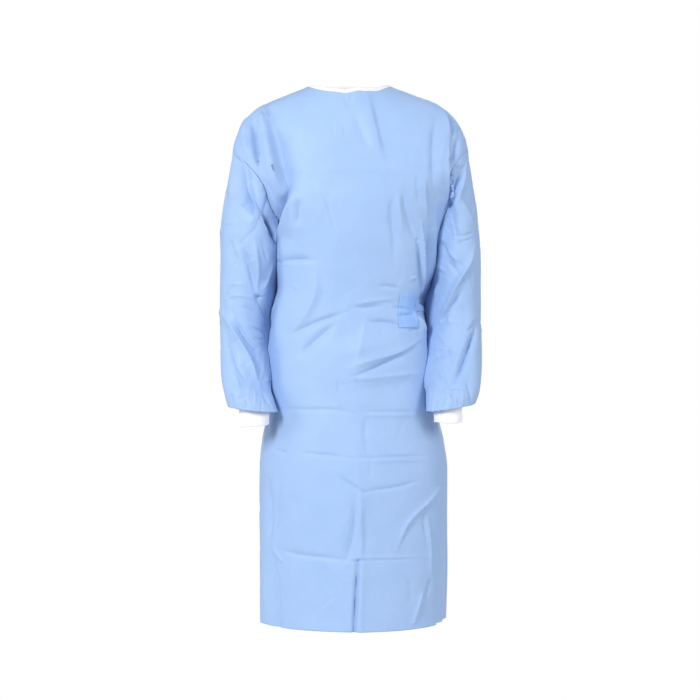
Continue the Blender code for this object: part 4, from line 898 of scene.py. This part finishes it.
innerBack = dict(rows=300, columns=92, flanges=(6.0 * mm, 1.0 * mm), hem=7 * mm, flat=(0.37, 1.12))
levels = panelLevels(innerBack)[:, None]
first, last = 90.0 + armholeCut(levels, 1) + seamGap, beneath["edge"] + 0 * levels
shares = evenShares(0.4, 90, 205, innerBack["columns"])[None, :]
backInner = makePanel("backPanelInnerCloth", "back_panel_inner", innerBack, levels,
                      first + (last - first) * shares, (first,), innerDrop)


# sleeves
def armholeEdge(turn, side):
    radians = np.radians(turn)
    level = underarm + (shoulderTip - underarm) * (1 + np.cos(radians)) / 2
    angle = side * (90.0 - armholeWidth(np.cos(radians), side) * np.sin(radians))
    return bodyCloth(level, angle)


def cuffRing(cuff, z, turn, side, grow=0.0):
    radians = np.radians(turn)
    return np.stack([side * (cuff["x"] + (cuff["halfWidth"] + grow) * np.cos(radians)),
                     cuff["y"] - (cuff["halfDepth"] + grow) * np.sin(radians),
                     z - cuff["tilt"] * np.cos(radians)], -1)


def sleeveRing(form, level, turn, side):
    outer = np.stack([side * through(form, 1, level), through(form, 2, level), through(form, 3, level)],
                     -1)
    inner = np.stack([side * through(form, 4, level), through(form, 5, level), through(form, 6, level)],
                     -1)
    centre, half = (outer + inner) / 2, (outer - inner) / 2
    flat = half[..., :2] / np.linalg.norm(half[..., :2], axis=-1, keepdims=True)
    forward = np.stack([side * flat[..., 1], -side * flat[..., 0], np.zeros_like(flat[..., 0])], -1)
    radians = np.radians(turn)[..., None]
    depth = through(form, 7, level)[..., None]
    return centre + half * np.cos(radians) + forward * depth * np.sin(radians)


# both sleeves lean on the body behind, hug it below the armpit and leave room for the knot;
# start and end are levels down the sleeve, each with what it fades over
wrap = dict(turn=226.0, reach=40.0, depth=36 * mm, start=0.05, fadeIn=0.14, end=0.90, fadeOut=0.16)
hug = dict(turn=162.0, reach=34.0, depth=10 * mm, start=0.004, fadeIn=0.04, end=0.38, fadeOut=0.16)
knotRoom = dict(depth=13 * mm, z=-0.475, height=0.043, y=0.040, width=0.026)
sleeveLength, seamTurn = 560.0, 196.0  # mm from shoulder to cuff, and degrees round to the seam


def leaning(settings, level, turn):
    begun = smooth((level - settings["start"]) / settings["fadeIn"])
    goingOn = smooth((settings["end"] - level) / settings["fadeOut"])
    return np.exp(-(((turn - settings["turn"]) / settings["reach"]) ** 2)) * begun * goingOn


def clearOfBody(points, level, side, gap):
    below = np.minimum(points[..., 2], bodyForm[underarmRow, sideZ])
    levels = np.linspace(0, underarm, 200)
    body = np.interp(below, through(bodyForm, sideZ, levels), levels)
    depth = np.where(points[..., 1] < 0, through(bodyForm, depthFront, body),
                     through(bodyForm, depthBack, body))
    share = np.clip(np.abs(points[..., 1]) / depth, 0, 1)
    fromMiddle = np.degrees(np.arccos(share ** (through(bodyForm, squareness, body) / 2)))
    angle = np.where(points[..., 1] < 0, fromMiddle, 180.0 - fromMiddle)
    limit = np.abs(bodyCloth(body, side * angle)[..., 0]) + gap * smooth(level / 0.08)
    if side > 0:
        rise = (points[..., 2] - knotRoom["z"]) / knotRoom["height"]
        away = (points[..., 1] - knotRoom["y"]) / knotRoom["width"]
        limit += knotRoom["depth"] * np.exp(-(rise**4) - (away**4))
    freeEnd = smooth((0.985 - level) / 0.02)
    short = np.maximum(limit - side * points[..., 0], 0) * freeEnd * (share < 1)
    return points + np.stack([side * short, 0 * short, 0 * short], -1)


def sleeveCloth(settings, side):
    form, cuff = settings["form"], settings["cuff"]
    edgeTurns = np.linspace(0, 360, settings["columns"], endpoint=False)
    rim = armholeEdge(edgeTurns, side)
    rimBare = sleeveRing(form, np.zeros(edgeTurns.shape), edgeTurns, side)
    offset = np.concatenate([rim - rimBare, (rim - rimBare)[:1]])

    def bare(level, turn):
        level, turn = np.broadcast_arrays(np.asarray(level, float), np.asarray(turn, float))
        ring = sleeveRing(form, np.minimum(level, sleeveLast), turn, side)
        wrapped = np.mod(turn, 360.0)
        move = np.stack([np.interp(wrapped, np.append(edgeTurns, 360.0), offset[:, k])
                         for k in range(3)], -1)
        ring = ring + (1 - smooth(level / capEnd))[..., None] * move
        inwards = leaning(wrap, level, wrapped) * wrap["depth"]
        inwards = inwards + leaning(hug, level, wrapped) * hug["depth"]
        ring = ring - inwards[..., None] * np.array((side, 0, 0))
        tuck = np.clip((level - sleeveLast) / (1 - sleeveLast), 0, 1)[..., None]
        end = cuffRing(cuff, sleeveEndZ, turn, side, 0.8 * mm)
        return ring + (end - ring) * np.sin(tuck * math.pi / 2)

    rowLevels = np.concatenate([np.linspace(0.0004, 0.95, settings["rows"]),
                                np.linspace(0.954, 1.0, 12)])[:, None]
    level, turn = np.broadcast_arrays(rowLevels, edgeTurns[None, :])
    base = bare(level, turn)
    share = smooth(level / 0.03) * smooth((0.985 - level) / 0.05)
    facing = smooth((np.sin(np.radians(turn)) - 0.04) / 0.3)
    height = facing * creaseHeight(settings["frontLines"], *seenFromFront(base))
    degreesLong = math.radians(70.0)
    backs = tuple(row[:6] + tuple((x * degreesLong, z) for x, z in row[6:])
                  for row in settings["backLines"])
    onward = np.where(turn < 100.0, turn + 360.0, turn)
    height += (1 - facing) * creaseHeight(backs, onward * degreesLong, base[..., 2] / mm)
    height = height * share
    # gathers where the sleeve is sewn to the cuff, a seam along the underside, puckers at the armhole
    gather = smooth((level - 0.90) / 0.07) * smooth((1.004 - level) / 0.03)
    uneven = 0.3 + 0.7 * np.sin(np.radians(turn) * 1.5 + side) ** 2
    around = np.radians(turn)
    height += 0.9 * gather * uneven * (np.cos(around * 13 + 2.1 * np.sin(around * 2 + side))
                                       + 0.5 * np.cos(around * 22 + 1.6 * np.sin(around * 3)))
    seamAway = np.abs((turn - seamTurn + 180.0) % 360.0 - 180.0) * degreesLong
    height -= 1.6 * np.exp(-seamAway / 2.2) * smooth(level / 0.04) * smooth((0.97 - level) / 0.04)
    downhill = level * sleeveLength
    height -= 0.4 * np.exp(-downhill / 1.8)
    puckers = np.cos(around * 41 + 2 * np.sin(around * 7))
    height += 0.4 * np.exp(-((downhill - 4.0) / 4.0) ** 2) * puckers
    points = base + side * outward(bare, level, turn, 0.004, 1.0) * (height * mm)[..., None]
    return clearOfBody(points, level, side, 0.9 * mm)


def makeSleeve(name, node, settings, side):
    points = sleeveCloth(settings, side)
    normal = side * rowNormals(points)
    first = points[:1] - normal[:1] * 5.5 * mm
    last = points[-1:] * 0.985 + 0.015 * points[-1:].mean(1, keepdims=True) + np.array((0, 0, 9 * mm))
    points = np.concatenate([first, points, last], 0)
    return place(clothMesh(name, points, clothBlue, True, side < 0), [node], "nonwoven")


def backStrays(seed):
    return strayCreases(seed, 34, (190, -650), (385, -170), (30, 100), (0.8, 2.0), 70)


# the flat size was lowered from 0.47 by 0.60 to suit the surface, so it is no estimate of its own
rightSleeve = dict(rows=280, columns=212, form=rightSleeveForm, cuff=rightCuffForm,
                   frontLines=rightLines, backLines=rightSleeveBack + backStrays(41),
                   flat=(0.44, 0.56), area=0.215)
leftSleeve = dict(rows=280, columns=212, form=leftSleeveForm, cuff=leftCuffForm,
                  frontLines=leftLines, backLines=leftSleeveBack + backStrays(47),
                  flat=(0.44, 0.56), area=0.215)
sleeveRight = makeSleeve("sleeveRightCloth", "sleeve_right", rightSleeve, -1)
sleeveLeft = makeSleeve("sleeveLeftCloth", "sleeve_left", leftSleeve, 1)
print("sleeves made")


# cuffs
def makeCuff(name, node, settings, side):
    form = settings["form"]
    turns = np.linspace(0, 360, settings["ribs"] * 8, endpoint=False)[None, :]
    top, bottom = form["top"] + 2 * mm, form["bottom"]
    heights = np.concatenate([np.linspace(top, bottom + 1.2 * mm, 26),
                              [bottom + 0.4 * mm, bottom, bottom + 0.4 * mm],
                              np.linspace(bottom + 1.2 * mm, bottom + 20 * mm, 8)])[:, None]
    inset = np.concatenate([np.zeros(26), [0.3, 1.0, 1.7], np.full(8, 2.0)])[:, None]
    share = (heights - bottom) / (top - bottom)
    radians = np.radians(turns)
    rib = 0.42 * np.abs(np.cos(radians * settings["ribs"] / 2)) ** 0.8 - 0.3
    rib = rib * np.where(inset > 1.2, 0.4, 1.0)
    sag = (0.9 * np.sin(share * 5.2 + 2 * np.sin(radians + 0.6))
           * np.sin(math.pi * np.clip(share, 0, 1))
           + 0.8 * np.cos(radians * 3 + share * 2.0 + settings["phase"]) * (1 - share)
           - 1.0 * smooth((share - 0.55) / 0.45) - 0.5 * share * (1 - share))
    grow = (rib + sag - inset) * mm
    points = cuffRing(form, heights + 0 * turns, turns + 0 * heights, side, 0.0)
    centre = np.array((side * form["x"], form["y"], 0))
    out = points - centre
    out[..., 2] = 0
    out /= np.linalg.norm(out, axis=-1, keepdims=True)
    points = points + out * grow[..., None]
    points[..., 2] += 0.8 * mm * np.sin(radians * 2 + settings["phase"]) * (1 - np.clip(share, 0, 1))
    return place(clothMesh(name, points, knitWhite, True, side < 0), [node], "white_knit")


rightCuff = dict(form=rightCuffForm, ribs=72, phase=0.4, flat=(0.20, 0.07))
leftCuff = dict(form=leftCuffForm, ribs=70, phase=2.1, flat=(0.19, 0.065))
cuffRight = makeCuff("cuffRightKnit", "cuff_right", rightCuff, -1)
cuffLeft = makeCuff("cuffLeftKnit", "cuff_left", leftCuff, 1)
print("cuffs made")


# strips that lie on the panels
def stripPoints(levels, angles, lift, drop=None):
    points = bodyCloth(levels, angles)
    normal = rowNormals(points)
    sunk = np.zeros(levels.shape) if drop is None else drop(levels, angles)
    return points + normal * (lift - sunk)[..., None], normal


def rimmed(points, normal, thickness):
    ring = points - normal * thickness
    inner = np.concatenate([ring[:, :1], points, ring[:, -1:]], 1)
    low = np.concatenate([ring[:1, :1], ring[:1], ring[:1, -1:]], 1)
    high = np.concatenate([ring[-1:, :1], ring[-1:], ring[-1:, -1:]], 1)
    return np.concatenate([low, inner, high], 0)


def underFlap(levels, angles):
    return innerDrop(levels, angles) * ((angles > 90.0) & (angles < flapEdge(levels)))


# the flat size was lowered from 0.86 by 0.022 after the check, partly to suit the surface
binding = dict(columns=720, section=16, stitchedRow=3, folded=0.55, flat=(0.62, 0.019))
angles = np.linspace(158.0, 360.0 + 205.0, binding["columns"])[None, :]
fold = binding["folded"]
t = np.linspace(0, 1, binding["section"])[:, None]
rise = np.where(t < fold, t / fold, 1 - (t - fold) / (1 - fold))
level = bindingStart + (1.0 - bindingStart) * np.clip(rise, 0, 1) + 0 * angles
angles = angles + 0 * t
wrapDrop = innerDrop(level, angles - 360.0) * (angles > 360.0)
base = bodyCloth(level, angles)
normal = outward(bareBody, level, angles)
along = np.linspace(0, 1, binding["columns"])[None, :]
pucker = (0.22 * np.sin(along * 2 * math.pi * 92 + 2.0 * np.sin(along * 40))
          + 0.12 * np.sin(along * 2 * math.pi * 151))
rounding = np.sqrt(np.clip(1 - (2 * np.clip(t / fold, 0, 1) - 1) ** 2, 0, 1))
outside = 0.35 + 1.15 * rounding * (1 + pucker)
inside = -0.9 - 0.7 * np.sqrt(np.clip(1 - (2 * np.clip((t - fold) / (1 - fold), 0, 1) - 1) ** 2, 0, 1))
turnOver = smooth((t - 0.48) / 0.12)
offset = outside * (1 - turnOver) + inside * turnOver
points = base + normal * (offset * mm - wrapDrop)[..., None]
points[..., 2] += 0.9 * mm * np.exp(-(((t - 0.54) / 0.07) ** 2))
neckBinding = place(clothMesh("neckBindingTape", points, tapeWhite), ["neck_binding"], "white_tape")
line = binding["stitchedRow"]
bindingStitches = stitchRow("neckBindingStitches", points[line], rowNormals(points)[line], threadWhite,
                            "white_tape")
print("binding made")

patch = dict(rows=30, columns=24, lift=1.5 * mm, flat=(0.045, 0.072))
levels = np.linspace(bodyLevel(-0.509), bodyLevel(-0.440), patch["rows"])[:, None]
shares = np.linspace(0.405, 0.651, patch["columns"])[None, :]
levels, angles = np.broadcast_arrays(levels, 90.0 * shares + 0 * levels)
points, normal = stripPoints(levels, angles, patch["lift"])
ripple = 0.35 * np.sin(levels * 150 + angles * 0.9) * np.sin(angles * 0.35 + levels * 60)
points = points + normal * (ripple * mm)[..., None]
beltPatch = place(clothMesh("beltPatchCloth", rimmed(points, normal, 1.2 * mm), patchBlue),
                  ["belt_patch"], "patch_blue")
patchStitches = stitchRow("beltPatchStitches", borderOf(points), borderOf(normal), threadBlue,
                          "patch_blue", 2.8 * mm, 2.0 * mm, 0.26 * mm)


def strapPoints(low, high, angles, rows, pleats):
    levels = np.linspace(low, high, rows)[:, None]
    levels, angles = np.broadcast_arrays(levels, angles[None, :])
    points, normal = stripPoints(levels, angles, 1.5 * mm, underFlap)
    share = np.linspace(0, 1, rows)[:, None]
    folds = np.abs(np.sin(share * math.pi * 2.4 + 0.02 * angles))
    wave = pleats * np.sin(share * math.pi) ** 0.7 * folds
    return points + normal * (wave * mm)[..., None], normal


strap = dict(rows=16, flatFront=(0.024, 0.12), flatBack=(0.024, 0.09))
low, high = bodyLevel(beltZ - 0.012), bodyLevel(beltZ + 0.012)
points, normal = strapPoints(low, high, np.linspace(58.7, 102.0, 90), strap["rows"], 1.1)
# the front strap takes the darker copy of the cloth, which is painted shade
beltFront = place(clothMesh("beltStrapFront", rimmed(points, normal, 1.0 * mm), shadedTieBlue),
                  ["belt_front"], "nonwoven")
points, normal = strapPoints(low, high, np.linspace(108.0, 147.0, 90), strap["rows"], 0.9)
beltBack = place(clothMesh("beltStrapBack", rimmed(points, normal, 1.0 * mm), clothBlue), ["belt_back"],
                 "nonwoven")
print("belt made")

# the knot: one crushed tape along an overhand knot
# its flat size isn't a real cut: the tie's is about 0.024 by 0.09, and the shape has too little
# cloth for that
knot = dict(steps=170, around=14, width=4.6 * mm, thick=1.9 * mm, size=(5.0 * mm, 3.4 * mm, 8.2 * mm),
            angle=105.0, proud=8.0 * mm, flat=(0.012, 0.078))
knotLevel, knotAngle = (low + high) / 2, knot["angle"]
surface = bodyCloth(np.array(knotLevel), np.array(knotAngle))
out = outward(bodyCloth, np.array(knotLevel), np.array(knotAngle))
sideways = np.cross((0.0, 0.0, 1.0), out)
sideways /= np.linalg.norm(sideways)
upright = np.cross(out, sideways)
t = np.linspace(0.42, 2 * math.pi - 0.42, knot["steps"])
lineX = (np.sin(t) + 2 * np.sin(2 * t)) / 3
lineY = (np.cos(t) - 2 * np.cos(2 * t)) / 3
lineZ = -np.sin(3 * t)
centre = surface + out * knot["proud"]
path = (centre + sideways * (lineX * knot["size"][0])[:, None]
        + upright * (lineY * knot["size"][2])[:, None]
        + out * (lineZ * knot["size"][1])[:, None])
tangent = np.gradient(path, axis=0)
tangent /= np.linalg.norm(tangent, axis=1, keepdims=True)
away = path - centre
away -= tangent * (away * tangent).sum(1, keepdims=True)
away /= np.linalg.norm(away, axis=1, keepdims=True)
side = np.cross(tangent, away)
turns = np.linspace(0, 2 * math.pi, knot["around"], endpoint=False)
wrinkle = (1 + 0.16 * np.sin(turns[None, :] * 3 + t[:, None] * 5)
           + 0.10 * np.sin(turns[None, :] * 5 - t[:, None] * 9))
points = (path[:, None] + side[:, None] * (np.cos(turns) * knot["width"] * wrinkle)[..., None]
          + away[:, None] * (np.sin(turns) * knot["thick"] * wrinkle)[..., None])
beltKnot = place(clothMesh("beltKnotCloth", points, clothBlue, True, True), ["belt_knot"], "nonwoven")

tailSettings = (dict(length=0.150, lean=-1.0, lift=3.0, flat=(0.020, 0.158)),
                dict(length=0.185, lean=1.0, lift=6.0, flat=(0.020, 0.193)))
for number, tail in enumerate(tailSettings, 1):
    top = beltZ - 0.015
    heights = np.linspace(top + 0.006, top - tail["length"], 70)
    share = np.linspace(0, 1, 70)[:, None]
    half = math.degrees(0.010 / 0.15) * (0.55 + 0.45 * smooth(share / 0.12))
    drift = tail["lean"] * (1.2 + 3.0 * smooth(share / 0.2) + 2.2 * share)
    across = np.linspace(-1, 1, 12)[None, :]
    angles = 105.5 + drift + half * across
    levels = bodyLevel(heights)[:, None] + 0 * angles
    base = bodyCloth(levels, angles)
    normal = outward(bareBody, levels, angles)
    lift = (tail["lift"] + 2.2 * np.sin(share * 9 + number) * across * smooth(share / 0.3)
            + 1.6 * across**2 - 1.2 * np.exp(-np.abs(across) * 7)
            + 1.0 * np.sin(share * 21 + 2 * number))
    points = base + normal * ((lift + 1.0) * mm)[..., None]
    made = place(clothMesh(f"beltTail{number}Cloth", rimmed(points[::-1], normal[::-1], 0.8 * mm),
                           clothBlue), [f"belt_tail_{number}"], "nonwoven")
print("knot and tails made")

tab = dict(rows=14, flat=(0.030, 0.060))
levels = np.linspace(0.93966667, 0.96458333, tab["rows"])[:, None]
angles = np.linspace(146.7, 171.4, 48)[None, :]
levels, angles = np.broadcast_arrays(levels, angles)
points, normal = stripPoints(levels, angles, 1.5 * mm,
                             lambda a, b: innerDrop(a, b) * smooth((158.5 - b) / 2.5))
neckTab = place(clothMesh("neckTabTape", rimmed(points, normal, 1.1 * mm), tapeWhite), ["neck_tab"],
                "white_tape")
tabStitches = stitchRow("neckTabStitches", borderOf(points), borderOf(normal), threadWhite,
                        "white_tape", 3.0 * mm, 2.1 * mm, 0.26 * mm)
print("neck tab made")


# floor, light and world
bpy.ops.object.select_all(action="DESELECT")
bpy.ops.mesh.primitive_circle_add(vertices=96, radius=1.1, fill_type="NGON", location=(0, 0, -1.5))
floor = bpy.context.active_object
floor.name = "floor"
floorPaint, tree, shader = startMaterial("paleFloor")
speckle = noiseNode(tree, addNode(tree, "ShaderNodeTexCoord").outputs["Object"], 40, 3, 0.5)
tree.links.new(mixColours(tree, speckle, (0.80, 0.80, 0.80), (0.84, 0.84, 0.84)),
               shader.inputs["Base Color"])
shader.inputs["Roughness"].default_value = 0.7
floor.data.materials.append(floorPaint)


def softLight(name, location, target, size, power):
    data = bpy.data.lights.new(name, "AREA")
    data.shape = "RECTANGLE"
    data.size, data.size_y = size
    data.energy = power
    lamp = bpy.data.objects.new(name, data)
    lamp.location = location
    way = np.array(target) - np.array(location)
    lamp.rotation_euler = (math.acos(-way[2] / np.linalg.norm(way)), 0,
                           math.atan2(way[1], way[0]) - math.pi / 2)
    bpy.context.scene.collection.objects.link(lamp)


softLight("key", (-2.1, -3.2, 1.1), (0, 0, -0.5), (0.9, 1.3), 118)
softLight("fill", (2.9, -2.4, 0.6), (0, 0, -0.5), (1.1, 1.8), 60)
softLight("rightEdge", (-3.4, -0.6, 0.2), (0, 0, -0.4), (1.0, 1.6), 30)
softLight("leftEdge", (3.4, -0.5, 0.7), (0, 0, -0.3), (0.9, 1.2), 12)
softLight("back", (1.0, 3.7, 0.5), (0, 0, -0.5), (1.1, 1.6), 78)

# an even white surround that is seen at full strength and lights the cloth at less
world = bpy.data.worlds.new("studio")
world.use_nodes = True
tree = world.node_tree
surround = tree.nodes["Background"]
surround.inputs["Color"].default_value = (1, 1, 1, 1)
surround.inputs["Strength"].default_value = 0.40
seen = addNode(tree, "ShaderNodeBackground", {"Color": (1, 1, 1, 1), "Strength": 1.0})
blend = addNode(tree, "ShaderNodeMixShader")
tree.links.new(addNode(tree, "ShaderNodeLightPath").outputs["Is Camera Ray"], blend.inputs[0])
tree.links.new(surround.outputs[0], blend.inputs[1])
tree.links.new(seen.outputs[0], blend.inputs[2])
tree.links.new(blend.outputs[0], tree.nodes["World Output"].inputs["Surface"])
bpy.context.scene.world = world
bpy.context.scene.view_settings.view_transform = "Standard"
bpy.context.scene.view_settings.look = "None"

print("scene made")
